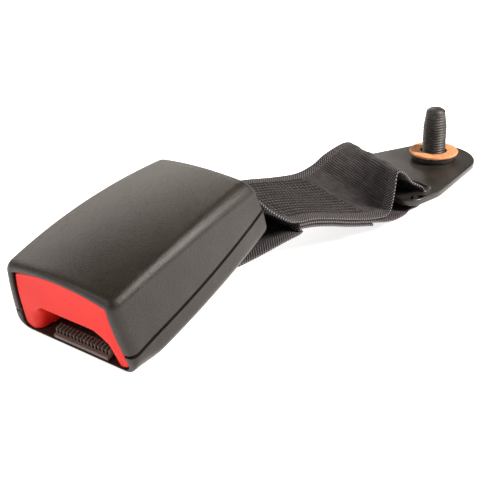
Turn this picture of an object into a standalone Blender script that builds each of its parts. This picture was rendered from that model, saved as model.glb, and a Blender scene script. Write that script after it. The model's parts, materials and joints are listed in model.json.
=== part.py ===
"""Seat belt buckle on a short stitched strap, with its anchor plate and bolt.

The buckle lies on the lower edge of its mouth and its rear end is held up by the strap.
The strap drops from the buckle to the anchor plate, which stands on the head of its bolt.
X runs from the mouth to the bolt, Y to the left, Z up.
"""
import math

import bmesh
import bpy
from mathutils import Matrix, Vector

MM = 0.001
GAP = 0.3 * MM

# Unit of the places and rows that were chosen by hand
LAYOUT_UNIT = 1.0 * MM

# Covers of the buckle
COVER_LENGTH = 77.8 * MM
COVER_FRONT_WIDTH = 52.3 * MM
COVER_REAR_WIDTH = 46.6 * MM
COVER_FRONT_HEIGHT = 27.9 * MM
COVER_REAR_HEIGHT = 22.3 * MM
COVER_WALL = 1.8 * MM
RIM_WALL = 2.9 * MM
RIM_FLOOR = 0.9 * MM
RIM_DEPTH = 18.0 * MM
COVER_FLARE_FRONT = 3.4 * MM
COVER_FLARE_REAR = 2.2 * MM
CAVITY_FLARE = 0.9 * MM
COVER_CROWN = 1.4 * MM
COVER_BARREL = 1.8 * MM
COVER_ARCH = 2.2 * MM
MOUTH_FORWARD = 1.5 * MM
MOUTH_LEAN = 0.4 * MM
REAR_BULGE = 1.6 * MM
TOP_RADIUS_FRONT = 2.8 * MM
TOP_RADIUS_REAR = 5.5 * MM
LOWER_RADIUS = 3.4 * MM
PARTING_FRONT = 8.3 * MM
PARTING_REAR = 10.0 * MM
PARTING_DIP = 3.0 * MM
PARTING_DIP_LENGTH = 9.0 * MM
PARTING_DIP_STEPS = 8
PARTING_GAP = 0.8 * MM
FLOOR_END = 49.0 * MM
REAR_OPENING_HEIGHT = 19.0 * MM
PITCH = math.radians(17.7)
BUCKLE_YAW = math.radians(1.1)
BUCKLE_PLACE = Vector((-1.0, 0.5, 0.5)) * LAYOUT_UNIT

# Steel frame inside the covers
FRAME_THICKNESS = 2.2 * MM
FRAME_BOTTOM = 4.1 * MM
FRAME_FRONT = 7.5 * MM
FRAME_NOSE_HALF = 12.4 * MM
WALL_FRONT = 18.5 * MM
WALL_REAR = 49.0 * MM
WALL_INNER = 16.0 * MM
WALL_TOP = 19.0 * MM
TAIL_HALF = 20.9 * MM
TAIL_END = 66.5 * MM
STRAP_SLOT_FRONT = 51.2 * MM
STRAP_SLOT_LENGTH = 4.8 * MM
STRAP_SLOT_HALF = 18.7 * MM
LUG_THICKNESS = 1.8 * MM
LUG_HALF = 4.0 * MM
LUG_HEIGHT = 5.2 * MM
SPRING_EAR_X = 56.0 * MM
SPRING_EAR_TOP = 18.5 * MM

# Tongue guide in the mouth
GUIDE_HALF = 13.0 * MM
GUIDE_FLOOR = 0.5 * MM
GUIDE_OFFSET = -2.0 * MM
GUIDE_FRONT = -1.7 * MM
GUIDE_LENGTH = 5.2 * MM
GUIDE_BAR_DEPTH = 1.5 * MM
GUIDE_BAR_HEIGHT = 1.5 * MM
GUIDE_HEIGHT = 4.0 * MM
GUIDE_SLOTS = 15
GUIDE_RIB = 0.85 * MM

# Press button
BUTTON_RECESS = 0.6 * MM
BUTTON_CLEARANCE = 0.35 * MM
BUTTON_DEPTH = 11.5 * MM
BUTTON_TRAVEL = 5.5 * MM
SLOT_HALF_TOP = 12.4 * MM
SLOT_HALF_FLOOR = 19.2 * MM
SLOT_TOP = 13.2 * MM
THROAT_HALF = 13.9 * MM
THROAT_TOP = 12.4 * MM
SLOT_CORNER = 4.0 * MM
ARM_INNER = 18.7 * MM
ARM_OUTER = 20.9 * MM
ARM_LOW = 12.5 * MM
ARM_HIGH = 20.6 * MM
ARM_END = 38.4 * MM

# Latch, lock bar and ejector
LATCH_PIN_X = 45.0 * MM
LATCH_PIN_Z = 14.2 * MM
LATCH_PIN_RADIUS = 1.6 * MM
LATCH_PIN_HALF = 18.2 * MM
KNUCKLE_RADIUS = 3.2 * MM
LATCH_THICKNESS = 2.2 * MM
LATCH_HALF = 11.0 * MM
LATCH_FRONT = 20.0 * MM
LATCH_NOSE = 3.2 * MM
LATCH_NOSE_DROP = 2.2 * MM
KNUCKLE_HALF = 14.5 * MM
LATCH_WINDOW_HALF = 5.0 * MM
LOCK_BAR_X = 34.0 * MM
LOCK_BAR_RADIUS = 2.0 * MM
LOCK_BAR_HALF = 20.9 * MM
EJECTOR_FRONT = 23.9 * MM
EJECTOR_LENGTH = 8.2 * MM
EJECTOR_HALF = 8.0 * MM
EJECTOR_HEIGHT = 3.6 * MM
EJECTOR_KEEL_HALF = 2.4 * MM
EJECTOR_TRAVEL = 11.0 * MM
SPRING_WIRE = 0.3 * MM

# Strap of webbing
WEB_WIDTH = 47.0 * MM
WEB_THICKNESS = 1.2 * MM
WEB_LAYER = 1.5 * MM
WEB_CLEARANCE_IN_SLOT = 0.5 * MM
WEB_CLEARANCE_AT_REAR = 1.0 * MM
WEB_PLAY_AT_BAR = 0.3 * MM
WEB_PLAY_AT_PLATE = 3.3 * MM
THREAD_RADIUS = 0.28 * MM
THREAD_ROWS = 7
THREAD_MARGIN = 0.1

# Anchor plate, swinging about its outer bar
ANCHOR_PIVOT = Vector((169.2, -9.0, 10.5)) * LAYOUT_UNIT
ANCHOR_YAW = math.radians(-10.7)
ANCHOR_TILT = math.radians(1.9)
PLATE_THICKNESS = 3.0 * MM
PLATE_BAR = 10.5 * MM
PLATE_SLOT_WIDTH = 9.0 * MM
PLATE_SLOT_CLEARANCE = 0.7 * MM
PLATE_SLOT_HALF = WEB_WIDTH / 2 + PLATE_SLOT_CLEARANCE
PLATE_ARM = 4.2 * MM
PLATE_CORNER = 7.0 * MM
PLATE_SHOULDER_GAP = 1.0 * MM
PLATE_SHOULDER_LENGTH = 4.0 * MM
PLATE_SHOULDER_EASE = 0.4 * MM
PLATE_END_RADIUS = 19.3 * MM
PLATE_BEVEL = 0.6 * MM
BOLT_X = 43.2 * MM
BOLT_HOLE_RADIUS = 6.2 * MM

# Bolt and its washers, measured along the bolt from the plate's top face
THREAD_OUTER = 5.55 * MM
TIP_RADIUS = 4.2 * MM
SHANK_RADIUS = 5.75 * MM
BOLT_HEIGHT = 20.4 * MM
TAPER_LENGTH = 8.2 * MM
TIP_CHAMFER = 1.0 * MM
FLANGE_RADIUS = 10.5 * MM
FLANGE_THICKNESS = 2.0 * MM
HEAD_ACROSS_FLATS = 16.0 * MM
HEAD_HEIGHT = 6.4 * MM
SPACER_RADIUS = 10.4 * MM
SPACER_THICKNESS = 2.3 * MM
FIBRE_RADIUS = 11.4 * MM
FIBRE_THICKNESS = 1.2 * MM
WAVE_RADIUS = 9.4 * MM
WAVE_THICKNESS = 0.6 * MM
WAVE_HEIGHT = 0.35 * MM
WAVE_COUNT = 3


def clear_scene():
    for item in list(bpy.data.objects):
        bpy.data.objects.remove(item, do_unlink=True)


def new_group(name):
    group = bpy.data.collections.new(name)
    bpy.context.scene.collection.children.link(group)
    return group


def finish(name, colour, roughness, metallic=0.0):
    material = bpy.data.materials.new(name)
    material.use_nodes = True
    shader = material.node_tree.nodes["Principled BSDF"]
    shader.inputs["Base Color"].default_value = (*colour, 1.0)
    shader.inputs["Roughness"].default_value = roughness
    shader.inputs["Metallic"].default_value = metallic
    return material


def add_empty(name, matrix, parent):
    empty = bpy.data.objects.new(name, None)
    bpy.context.scene.collection.objects.link(empty)
    empty.parent = parent
    empty.matrix_local = matrix
    return empty


def mesh_object(name, bm, parent, material, origin=Vector()):
    """Puts a mesh made in its parent's frame on a part whose own origin is given."""
    bmesh.ops.recalc_face_normals(bm, faces=bm.faces)
    bmesh.ops.translate(bm, vec=-origin, verts=bm.verts)
    mesh = bpy.data.meshes.new(name)
    bm.to_mesh(mesh)
    bm.free()
    item = bpy.data.objects.new(name, mesh)
    item.parent = parent
    item.location = origin
    if material is None:
        item.hide_render = True
        item.display_type = "WIRE"
        CUTTERS.objects.link(item)
    else:
        mesh.materials.append(material)
        PARTS.objects.link(item)
    return item


def curve_object(name, curve, parent, material):
    item = bpy.data.objects.new(name, curve)
    item.parent = parent
    curve.materials.append(material)
    PARTS.objects.link(item)
    return item


def combine(item, tool, operation="DIFFERENCE"):
    modifier = item.modifiers.new(tool.name, "BOOLEAN")
    modifier.operation = operation
    modifier.object = tool


def add_box(bm, low, high):
    low = Vector(low)
    high = Vector(high)
    place = Matrix.Translation((low + high) / 2) @ Matrix.Diagonal((*(high - low), 1.0))
    bmesh.ops.create_cube(bm, size=1.0, matrix=place)


def box(*corners):
    bm = bmesh.new()
    for low, high in corners:
        add_box(bm, low, high)
    return bm


def add_drum(bm, radius, centre, length, axis="Y", segments=24):
    """A cylinder whose middle is at centre."""
    turn = {"X": Matrix.Rotation(math.pi / 2, 4, "Y"),
            "Y": Matrix.Rotation(math.pi / 2, 4, "X"),
            "Z": Matrix.Identity(4)}[axis]
    bmesh.ops.create_cone(bm, cap_ends=True, segments=segments, radius1=radius, radius2=radius,
                          depth=length, matrix=Matrix.Translation(centre) @ turn)


def drum(radius, centre, length, axis="Y", segments=24):
    bm = bmesh.new()
    add_drum(bm, radius, centre, length, axis, segments)
    return bm


def loft(rings):
    """Skins a row of rings with equal numbers of points, and closes both ends."""
    bm = bmesh.new()
    rows = [[bm.verts.new(point) for point in ring] for ring in rings]
    count = len(rows[0])
    for row, following in zip(rows, rows[1:]):
        for i in range(count):
            j = (i + 1) % count
            bm.faces.new((row[i], row[j], following[j], following[i]))
    for row in (rows[0], rows[-1]):
        middle = bm.verts.new(sum((v.co for v in row), Vector()) / count)
        for i in range(count):
            bm.faces.new((row[i], row[(i + 1) % count], middle))
    return bm


def arc(centre, radius, start, end, steps):
    """Points on a flat arc, with angles in degrees."""
    points = []
    for step in range(steps + 1):
        angle = math.radians(start + (end - start) * step / steps)
        points.append((centre[0] + radius * math.cos(angle), centre[1] + radius * math.sin(angle)))
    return points


def mix(a, b, t):
    return a + (b - a) * t


def cover_ring(x, inset=0.0, base=0.0):
    """Cross-section of the covers' form at a distance from the mouth, drawn inset and on a base height."""
    t = x / COVER_LENGTH
    belly = 4 * t * (1 - t)
    half = mix(COVER_FRONT_WIDTH, COVER_REAR_WIDTH, t) / 2 + COVER_BARREL * belly - inset
    flare = mix(COVER_FLARE_FRONT, COVER_FLARE_REAR, t) if inset == 0.0 else CAVITY_FLARE
    top = mix(COVER_FRONT_HEIGHT, COVER_REAR_HEIGHT, t) + COVER_ARCH * belly - inset
    top_radius = max(mix(TOP_RADIUS_FRONT, TOP_RADIUS_REAR, t) - inset, 0.8 * MM)
    low_radius = max(LOWER_RADIUS - inset, 0.8 * MM)
    right = arc((half + flare - low_radius, base + low_radius), low_radius, -90, 0, 3)
    right += arc((half - top_radius, top - top_radius), top_radius, 0, 90, 4)
    right += [((half - top_radius) / 2, top)]
    ring = right + [(0.0, top)] + [(-y, z) for y, z in reversed(right)]
    points = []
    for y, z in ring:
        rise = (z - base) / (top - base)
        crown = COVER_CROWN * (1 - (y / half) ** 2) * rise
        lean = -(MOUTH_FORWARD + MOUTH_LEAN * (1 - rise)) * (1 - t)
        bulge = REAR_BULGE * math.sin(math.pi * min(rise, 1.0)) * max(t, 0.0) ** 4
        points.append(Vector((x + lean + bulge, y, z + max(crown, 0.0))))
    return points


def cover_rings(start, end, steps, inset=0.0, base=0.0):
    return [cover_ring(mix(start, end, i / steps), inset, base) for i in range(steps + 1)]


def side_prism(points, half):
    """A flat outline in the buckle's side view, as thick as twice the half width."""
    bm = bmesh.new()
    rows = [[bm.verts.new((x, y, z)) for x, z in points] for y in (-half, half)]
    for i in range(len(points)):
        j = (i + 1) % len(points)
        bm.faces.new((rows[0][i], rows[0][j], rows[1][j], rows[1][i]))
    for row in rows:
        bm.faces.new(row)
    return bm


def parting_height(x):
    """Height of the joint between the covers, which dips towards the mouth."""
    dip = PARTING_DIP * max(1 - x / PARTING_DIP_LENGTH, 0.0) ** 2
    return mix(PARTING_FRONT, PARTING_REAR, x / COVER_LENGTH) - dip


def make_covers(buckle):
    plastic = finish("cover_plastic", (0.022, 0.018, 0.015), 0.42)
    beyond = 15 * MM
    inside_end = COVER_LENGTH - COVER_WALL
    rings = cover_rings(-beyond, RIM_DEPTH, 3, RIM_WALL, RIM_FLOOR)
    rings += cover_rings(RIM_DEPTH + 0.5 * MM, inside_end, 6, COVER_WALL, COVER_WALL)
    cavity = mesh_object("cavity_cutter", loft(rings), buckle, None)
    opening_half = COVER_REAR_WIDTH / 2 - COVER_WALL
    rear_low = (COVER_LENGTH - 8 * MM, -opening_half, -beyond)
    rear_high = (COVER_LENGTH + beyond, opening_half, REAR_OPENING_HEIGHT)
    rear = mesh_object("rear_opening_cutter", box((rear_low, rear_high)), buckle, None)
    ends = (-beyond, COVER_LENGTH + beyond)
    front = -MOUTH_FORWARD - MOUTH_LEAN - 1 * MM
    dip = [mix(front, PARTING_DIP_LENGTH, i / PARTING_DIP_STEPS) for i in range(PARTING_DIP_STEPS + 1)]
    for name, far, side in (("upper_cover", -beyond, 1), ("lower_cover", 2 * COVER_FRONT_HEIGHT, -1)):
        shell = mesh_object(name, loft(cover_rings(0.0, COVER_LENGTH, 6)), buckle, plastic)
        line = [(x, parting_height(max(x, front)) + side * PARTING_GAP / 2) for x in (ends[0], *dip, ends[1])]
        outline = line + [(ends[1], far), (ends[0], far)]
        knife = mesh_object(name + "_parting_cutter", side_prism(outline, COVER_FRONT_WIDTH), buckle, None)
        combine(shell, cavity)
        combine(shell, rear)
        combine(shell, knife)
    low = (FLOOR_END, -opening_half, -beyond)
    high = (COVER_LENGTH + beyond, opening_half, parting_height(FLOOR_END))
    combine(shell, mesh_object("underside_cutter", box((low, high)), buckle, None))
    pocket_low = (GUIDE_FRONT - beyond, GUIDE_OFFSET - GUIDE_HALF - GAP, GUIDE_FLOOR)
    pocket_high = (GUIDE_FRONT + GUIDE_LENGTH + GAP, GUIDE_OFFSET + GUIDE_HALF + GAP, COVER_WALL + 1 * MM)
    combine(shell, mesh_object("guide_pocket_cutter", box((pocket_low, pocket_high)), buckle, None))
    support_top = FRAME_BOTTOM - GAP
    for i, x in enumerate((FRAME_FRONT + 1 * MM, WALL_FRONT + 4 * MM, FLOOR_END - 4 * MM)):
        low = (x, -FRAME_NOSE_HALF + 2 * MM, RIM_FLOOR / 2)
        high = (x + 2 * MM, FRAME_NOSE_HALF - 2 * MM, support_top)
        rib = mesh_object(f"support_rib_{i}", box((low, high)), buckle, None)
        combine(shell, rib, "UNION")


def make_guide(buckle):
    """Comb in the mouth that leads the tongue in over the lower lip."""
    plastic = finish("guide_plastic", (0.075, 0.07, 0.065), 0.5)
    bottom = GUIDE_FLOOR + GAP
    low = (GUIDE_FRONT, GUIDE_OFFSET - GUIDE_HALF, bottom)
    high = (GUIDE_FRONT + GUIDE_LENGTH, GUIDE_OFFSET + GUIDE_HALF, bottom + GUIDE_HEIGHT)
    guide = mesh_object("tongue_guide", box((low, high)), buckle, plastic)
    pitch = (2 * GUIDE_HALF - GUIDE_RIB) / GUIDE_SLOTS
    slots = []
    for i in range(GUIDE_SLOTS):
        y = GUIDE_OFFSET - GUIDE_HALF + GUIDE_RIB + i * pitch
        slot_low = (GUIDE_FRONT + GUIDE_BAR_DEPTH, y, bottom + GUIDE_BAR_HEIGHT - 0.3 * MM)
        slot_high = (GUIDE_FRONT + GUIDE_LENGTH - 1.4 * MM, y + pitch - GUIDE_RIB, bottom + 2 * GUIDE_HEIGHT)
        slots.append((slot_low, slot_high))
    combine(guide, mesh_object("guide_slot_cutter", box(*slots), buckle, None))
    step_low = (GUIDE_FRONT - 1 * MM, -2 * GUIDE_HALF, bottom + GUIDE_BAR_HEIGHT)
    step_high = (GUIDE_FRONT + GUIDE_BAR_DEPTH, 2 * GUIDE_HALF, bottom + 2 * GUIDE_HEIGHT)
    combine(guide, mesh_object("guide_step_cutter", box((step_low, step_high)), buckle, None))


def slot_ring(x, half_floor, half_top, top, corner):
    """Arch-shaped section of the tongue's way in, open to the floor."""
    right = [(half_floor, -2 * MM)]
    right += arc((half_top - corner / 2, top - corner), corner, 20, 90, 4)
    ring = right + [(-y, z) for y, z in reversed(right)]
    return [Vector((x, y, z)) for y, z in ring]


def make_button(buckle):
    plastic = finish("button_red", (0.76, 0.035, 0.022), 0.38)
    inset = RIM_WALL + BUTTON_CLEARANCE
    base = RIM_FLOOR + GAP
    rings = [cover_ring(x, inset, base) for x in (BUTTON_RECESS, BUTTON_DEPTH / 2, BUTTON_DEPTH)]
    button = mesh_object("press_button", loft(rings), buckle, plastic)
    flared = (SLOT_HALF_FLOOR + 2.2 * MM, SLOT_HALF_TOP + 0.6 * MM, SLOT_TOP + 0.8 * MM)
    rings = [slot_ring(-6 * MM, *flared, SLOT_CORNER),
             slot_ring(0.0, SLOT_HALF_FLOOR, SLOT_HALF_TOP, SLOT_TOP, SLOT_CORNER),
             slot_ring(BUTTON_DEPTH + 4 * MM, THROAT_HALF, THROAT_HALF, THROAT_TOP, SLOT_CORNER / 2)]
    combine(button, mesh_object("tongue_slot_cutter", loft(rings), buckle, None))
    arms = []
    for side in (-1, 1):
        ys = sorted((side * ARM_INNER, side * ARM_OUTER))
        arms.append(((BUTTON_DEPTH - 2 * MM, ys[0], ARM_LOW), (ARM_END, ys[1], ARM_HIGH)))
    combine(button, mesh_object("button_arms", box(*arms), buckle, None), "UNION")
    centre = (LOCK_BAR_X, 0.0, lock_bar_height())
    bore = drum(LOCK_BAR_RADIUS + GAP, centre, 3 * ARM_OUTER)
    combine(button, mesh_object("lock_bar_bore", bore, buckle, None))


def latch_top():
    return LATCH_PIN_Z + LATCH_THICKNESS / 2


def lock_bar_height():
    return latch_top() + GAP + LOCK_BAR_RADIUS


def frame_top():
    return FRAME_BOTTOM + FRAME_THICKNESS


def make_frame(buckle):
    """Channel of pressed steel: floor, two side walls, lugs for the springs and the strap's bar."""
    steel = finish("zinc_steel", (0.55, 0.54, 0.5), 0.32, 1.0)
    outer = WALL_INNER + FRAME_THICKNESS
    low, top = FRAME_BOTTOM, frame_top()
    nose = ((FRAME_FRONT, -FRAME_NOSE_HALF, low), (TAIL_END, FRAME_NOSE_HALF, top))
    frame = mesh_object("buckle_frame", box(nose), buckle, steel)
    middle = ((WALL_FRONT, -outer, low), (TAIL_END - 1 * MM, outer, top - 0.01 * MM))
    combine(frame, mesh_object("frame_middle", box(middle), buckle, None), "UNION")
    tail = ((WALL_REAR, -TAIL_HALF, low), (TAIL_END, TAIL_HALF, top))
    combine(frame, mesh_object("frame_tail", box(tail), buckle, None), "UNION")
    uprights = []
    for side in (-1, 1):
        ys = sorted((side * WALL_INNER, side * outer))
        uprights.append(((WALL_FRONT, ys[0], low + 0.5 * MM), (WALL_REAR, ys[1], WALL_TOP)))
        ys = sorted((side * ARM_INNER, side * TAIL_HALF))
        ear_low = (SPRING_EAR_X, ys[0], low + 0.5 * MM)
        uprights.append((ear_low, (SPRING_EAR_X + LUG_THICKNESS, ys[1], SPRING_EAR_TOP)))
    lug_low = (STRAP_SLOT_FRONT - LUG_THICKNESS - GAP, -LUG_HALF, low + 0.5 * MM)
    lug_high = (STRAP_SLOT_FRONT - GAP, LUG_HALF, top + LUG_HEIGHT)
    uprights.append((lug_low, lug_high))
    combine(frame, mesh_object("frame_uprights", box(*uprights), buckle, None), "UNION")
    slot_end = STRAP_SLOT_FRONT + STRAP_SLOT_LENGTH
    slot = ((STRAP_SLOT_FRONT, -STRAP_SLOT_HALF, 0.0), (slot_end, STRAP_SLOT_HALF, 2 * top))
    keel_half = EJECTOR_KEEL_HALF + GAP
    keel_front = EJECTOR_FRONT - 1 * MM
    keel_rear = EJECTOR_FRONT + EJECTOR_LENGTH + EJECTOR_TRAVEL + 1 * MM
    keel = ((keel_front, -keel_half, 0.0), (keel_rear, keel_half, top + 0.5 * MM))
    notch_front = LOCK_BAR_X - LOCK_BAR_RADIUS - 1 * MM
    notch_rear = LOCK_BAR_X + BUTTON_TRAVEL + LOCK_BAR_RADIUS + 0.6 * MM
    notch_low = lock_bar_height() - LOCK_BAR_RADIUS - 0.6 * MM
    notch = ((notch_front, -ARM_INNER, notch_low), (notch_rear, ARM_INNER, 2 * WALL_TOP))
    combine(frame, mesh_object("frame_window_cutter", box(slot, keel, notch), buckle, None))
    bore = drum(LATCH_PIN_RADIUS + GAP, (LATCH_PIN_X, 0.0, LATCH_PIN_Z), 3 * outer)
    combine(frame, mesh_object("latch_pin_bore", bore, buckle, None))


def make_latch(buckle):
    steel = finish("latch_steel", (0.42, 0.41, 0.39), 0.3, 1.0)
    axis = Vector((LATCH_PIN_X, 0.0, LATCH_PIN_Z))
    pin = drum(LATCH_PIN_RADIUS, axis, 2 * LATCH_PIN_HALF)
    mesh_object("latch_pin", pin, buckle, steel, axis)
    plate_low = (LATCH_FRONT, -LATCH_HALF, LATCH_PIN_Z - LATCH_THICKNESS / 2)
    plate_high = (LATCH_PIN_X, LATCH_HALF, latch_top())
    latch = mesh_object("latch_plate", box((plate_low, plate_high)), buckle, steel, axis)
    nose_low = (LATCH_FRONT, -LATCH_HALF / 2, plate_low[2] - LATCH_NOSE_DROP)
    nose = ((nose_low), (LATCH_FRONT + LATCH_NOSE, LATCH_HALF / 2, LATCH_PIN_Z))
    combine(latch, mesh_object("latch_nose", box(nose), buckle, None), "UNION")
    knuckle = drum(KNUCKLE_RADIUS, axis, 2 * KNUCKLE_HALF)
    combine(latch, mesh_object("latch_knuckle", knuckle, buckle, None), "UNION")
    window = ((LATCH_PIN_X - 2 * KNUCKLE_RADIUS, -LATCH_WINDOW_HALF, 0.0),
              (LATCH_PIN_X + 2 * KNUCKLE_RADIUS, LATCH_WINDOW_HALF, 2 * LATCH_PIN_Z))
    combine(latch, mesh_object("latch_window_cutter", box(window), buckle, None))
    bore = drum(LATCH_PIN_RADIUS + GAP, axis, 3 * KNUCKLE_HALF)
    combine(latch, mesh_object("latch_bore_cutter", bore, buckle, None))
    bar = drum(LOCK_BAR_RADIUS, (LOCK_BAR_X, 0.0, lock_bar_height()), 2 * LOCK_BAR_HALF)
    mesh_object("lock_bar", bar, buckle, steel)


def make_ejector(buckle):
    plastic = finish("ejector_plastic", (0.6, 0.58, 0.52), 0.45)
    bottom = frame_top() + GAP
    low = (EJECTOR_FRONT, -EJECTOR_HALF, bottom)
    high = (EJECTOR_FRONT + EJECTOR_LENGTH, EJECTOR_HALF, bottom + EJECTOR_HEIGHT)
    ejector = mesh_object("ejector", box((low, high)), buckle, plastic)
    keel = ((EJECTOR_FRONT + 1 * MM, -EJECTOR_KEEL_HALF, FRAME_BOTTOM + 0.2 * MM),
            (EJECTOR_FRONT + EJECTOR_LENGTH - 1 * MM, EJECTOR_KEEL_HALF, bottom + 1 * MM))
    combine(ejector, mesh_object("ejector_keel", box(keel), buckle, None), "UNION")


def spring_points(start, end, radius, turns, steps=10):
    """A helix about the line from start to end."""
    start = Vector(start)
    run = Vector(end) - start
    across = run.orthogonal().normalized()
    other = run.normalized().cross(across)
    points = []
    for i in range(int(turns * steps) + 1):
        angle = 2 * math.pi * i / steps
        along = run * (i / (turns * steps))
        points.append(start + along + radius * (math.cos(angle) * across + math.sin(angle) * other))
    return points


def wire(name, points, radius, parent, material, resolution=1):
    curve = bpy.data.curves.new(name, "CURVE")
    curve.dimensions = "3D"
    curve.bevel_depth = radius
    curve.bevel_resolution = resolution
    curve.use_fill_caps = True
    spline = curve.splines.new("POLY")
    spline.points.add(len(points) - 1)
    for spot, point in zip(spline.points, points):
        spot.co = (*point, 1.0)
    return curve_object(name, curve, parent, material)


def make_springs(buckle):
    steel = finish("spring_steel", (0.5, 0.5, 0.5), 0.3, 1.0)
    margin = GAP + SPRING_WIRE
    for name, side in (("button_spring_left", 1), ("button_spring_right", -1)):
        y = side * (ARM_INNER + ARM_OUTER) / 2
        z = (ARM_LOW + ARM_HIGH) / 2 - 1 * MM
        points = spring_points((ARM_END + margin, y, z), (SPRING_EAR_X - margin, y, z), 1.1 * MM, 7)
        wire(name, points, SPRING_WIRE, buckle, steel)
    z = frame_top() + GAP + EJECTOR_HEIGHT / 2 + 0.4 * MM
    start = (EJECTOR_FRONT + EJECTOR_LENGTH + margin, 0.0, z)
    end = (STRAP_SLOT_FRONT - LUG_THICKNESS - GAP - margin, 0.0, z)
    wire("ejector_spring", spring_points(start, end, 1.5 * MM, 7), SPRING_WIRE, buckle, steel)
    coil = LATCH_PIN_RADIUS + GAP + SPRING_WIRE
    half = LATCH_WINDOW_HALF - 2 * MM
    points = spring_points((LATCH_PIN_X, -half, LATCH_PIN_Z), (LATCH_PIN_X, half, LATCH_PIN_Z), coil, 5)
    wire("latch_spring", points, SPRING_WIRE, buckle, steel)


def smooth_rows(rows, steps):
    """Catmull-Rom curve through rows of points that belong together."""
    result = []
    last = len(rows) - 1
    for i in range(last):
        keys = [rows[max(i - 1, 0)], rows[i], rows[i + 1], rows[min(i + 2, last)]]
        for step in range(steps):
            t = step / steps
            weights = (-0.5 * t + t * t - 0.5 * t ** 3, 1 - 2.5 * t * t + 1.5 * t ** 3,
                       0.5 * t + 2 * t * t - 1.5 * t ** 3, -0.5 * t * t + 0.5 * t ** 3)
            result.append([sum((w * key[k] for w, key in zip(weights, keys)), Vector())
                           for k in range(len(rows[0]))])
    result.append(rows[last])
    return result


def frame_line(buckle_matrix, x, z, half):
    """A line straight across the buckle."""
    return [buckle_matrix @ Vector((x, -half, z)), buckle_matrix @ Vector((x, half, z))]


def datum_rows(buckle_matrix, rows, x, z, half):
    """Lines across the buckle at steps from a place, a height and a half width."""
    steps = [Vector(row) * LAYOUT_UNIT for row in rows]
    return [frame_line(buckle_matrix, x + along, z + rise, half + out) for along, rise, out in steps]


def plate_line(plate_matrix, x, z):
    half = WEB_WIDTH / 2
    return [plate_matrix @ Vector((x, -half, z)), plate_matrix @ Vector((x, half, z))]


def layout_line(near, far):
    return [Vector(near) * LAYOUT_UNIT, Vector(far) * LAYOUT_UNIT]


# Upper run between the buckle and the hump, near and far edge, in mm
UPPER_RUN = (
    ((86.0, -23.6, 24.4), (87.5, 23.2, 28.0)),
    ((92.4, -24.2, 22.0), (94.5, 22.7, 25.6)),
    ((101.5, -25.0, 20.4), (104.5, 21.8, 23.6)),
    ((112.5, -26.1, 17.2), (117.0, 20.4, 21.4)),
    ((124.0, -27.5, 13.4), (130.0, 18.6, 18.8)),
    ((138.5, -29.7, 9.4), (145.0, 16.3, 16.8)),
)

# The hump before the slot: its near edge stands up steeply, its far edge rises gently
HUMP = (
    ((148.0, -31.4, 8.6), (155.5, 14.5, 18.4)),
    ((152.8, -32.1, 12.2), (162.0, 13.2, 21.4)),
    ((154.2, -32.4, 18.6), (170.0, 12.0, 23.4)),
    ((155.6, -32.6, 24.6), (176.8, 11.2, 24.0)),
    ((160.2, -32.9, 26.6), (181.8, 11.0, 22.4)),
    ((166.4, -33.1, 23.0), (184.0, 11.4, 18.6)),
)

# Lower run from the buckle to the stack, and from the plate's bar back to the stack, in mm
LOWER_RUN = (
    ((94.2, -24.4, 17.0), (96.6, 22.6, 20.0)),
    ((83.0, -23.8, 16.6), (84.4, 22.9, 18.6)),
)
RETURN_RUN = (
    ((158.0, -33.2, 5.6), (165.6, 12.8, 6.2)),
    ((150.0, -31.7, 5.2), (156.6, 14.2, 9.6)),
)

# Rows at the buckle in mm: along it, up, and how far the half width grows, each from its own datum
BELOW_FRAME = ((13.0, -11.2, 5.0), (3.0, -8.0, 3.8), (-1.8, -5.4, 1.0))
OVER_TAIL = ((-9.3, 2.5, 0.0), (-3.5, 3.1, 0.0), (3.0, 6.0, 0.8))
AT_REAR = ((-2.0, 8.6, 0.0), (2.6, 5.2, 0.9), (6.6, -2.2, 2.8))

# Rows round the plate's bar in mm, along the plate from the slot's row, and down from its lower face
BELOW_BAR = ((0.0, 1.0), (-3.0, 3.1))
UNDER_BAR_DROP = 3.4 * MM


def drop(line, depth):
    return [point - Vector((0.0, 0.0, depth)) for point in line]


def web_rows(buckle_matrix, plate_matrix):
    """The strap's middle surface from its lower end, round both bars, to its middle end."""
    upper = [layout_line(*pair) for pair in UPPER_RUN]
    hump = [layout_line(*pair) for pair in HUMP]
    bar_front = STRAP_SLOT_FRONT + STRAP_SLOT_LENGTH
    slot_x = bar_front - GAP - WEB_THICKNESS / 2 - WEB_PLAY_AT_BAR
    half = STRAP_SLOT_HALF - WEB_CLEARANCE_IN_SLOT
    rear_half = COVER_REAR_WIDTH / 2 - COVER_WALL - WEB_CLEARANCE_AT_REAR
    rows = [drop(line, 2 * WEB_LAYER) for line in reversed(upper[1:])]
    rows += [layout_line(*pair) for pair in LOWER_RUN]
    rows += datum_rows(buckle_matrix, BELOW_FRAME, bar_front, FRAME_BOTTOM, half)
    rows += [frame_line(buckle_matrix, slot_x, FRAME_BOTTOM, half),
             frame_line(buckle_matrix, slot_x, frame_top(), half)]
    rows += datum_rows(buckle_matrix, OVER_TAIL, TAIL_END, frame_top(), half)
    rows += datum_rows(buckle_matrix, AT_REAR, COVER_LENGTH, frame_top(), rear_half)
    rows += upper + hump
    face = PLATE_THICKNESS / 2
    slot_x = PLATE_BAR / 2 + WEB_PLAY_AT_PLATE
    rows.append(plate_line(plate_matrix, slot_x, face + LAYOUT_UNIT))
    rows += [plate_line(plate_matrix, slot_x + along * LAYOUT_UNIT, -face - down * LAYOUT_UNIT)
             for along, down in BELOW_BAR]
    rows.append(plate_line(plate_matrix, 0.0, -face - UNDER_BAR_DROP))
    rows += [layout_line(*pair) for pair in RETURN_RUN]
    rows += [drop(line, WEB_LAYER) for line in reversed(upper[1:])]
    return rows


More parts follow.
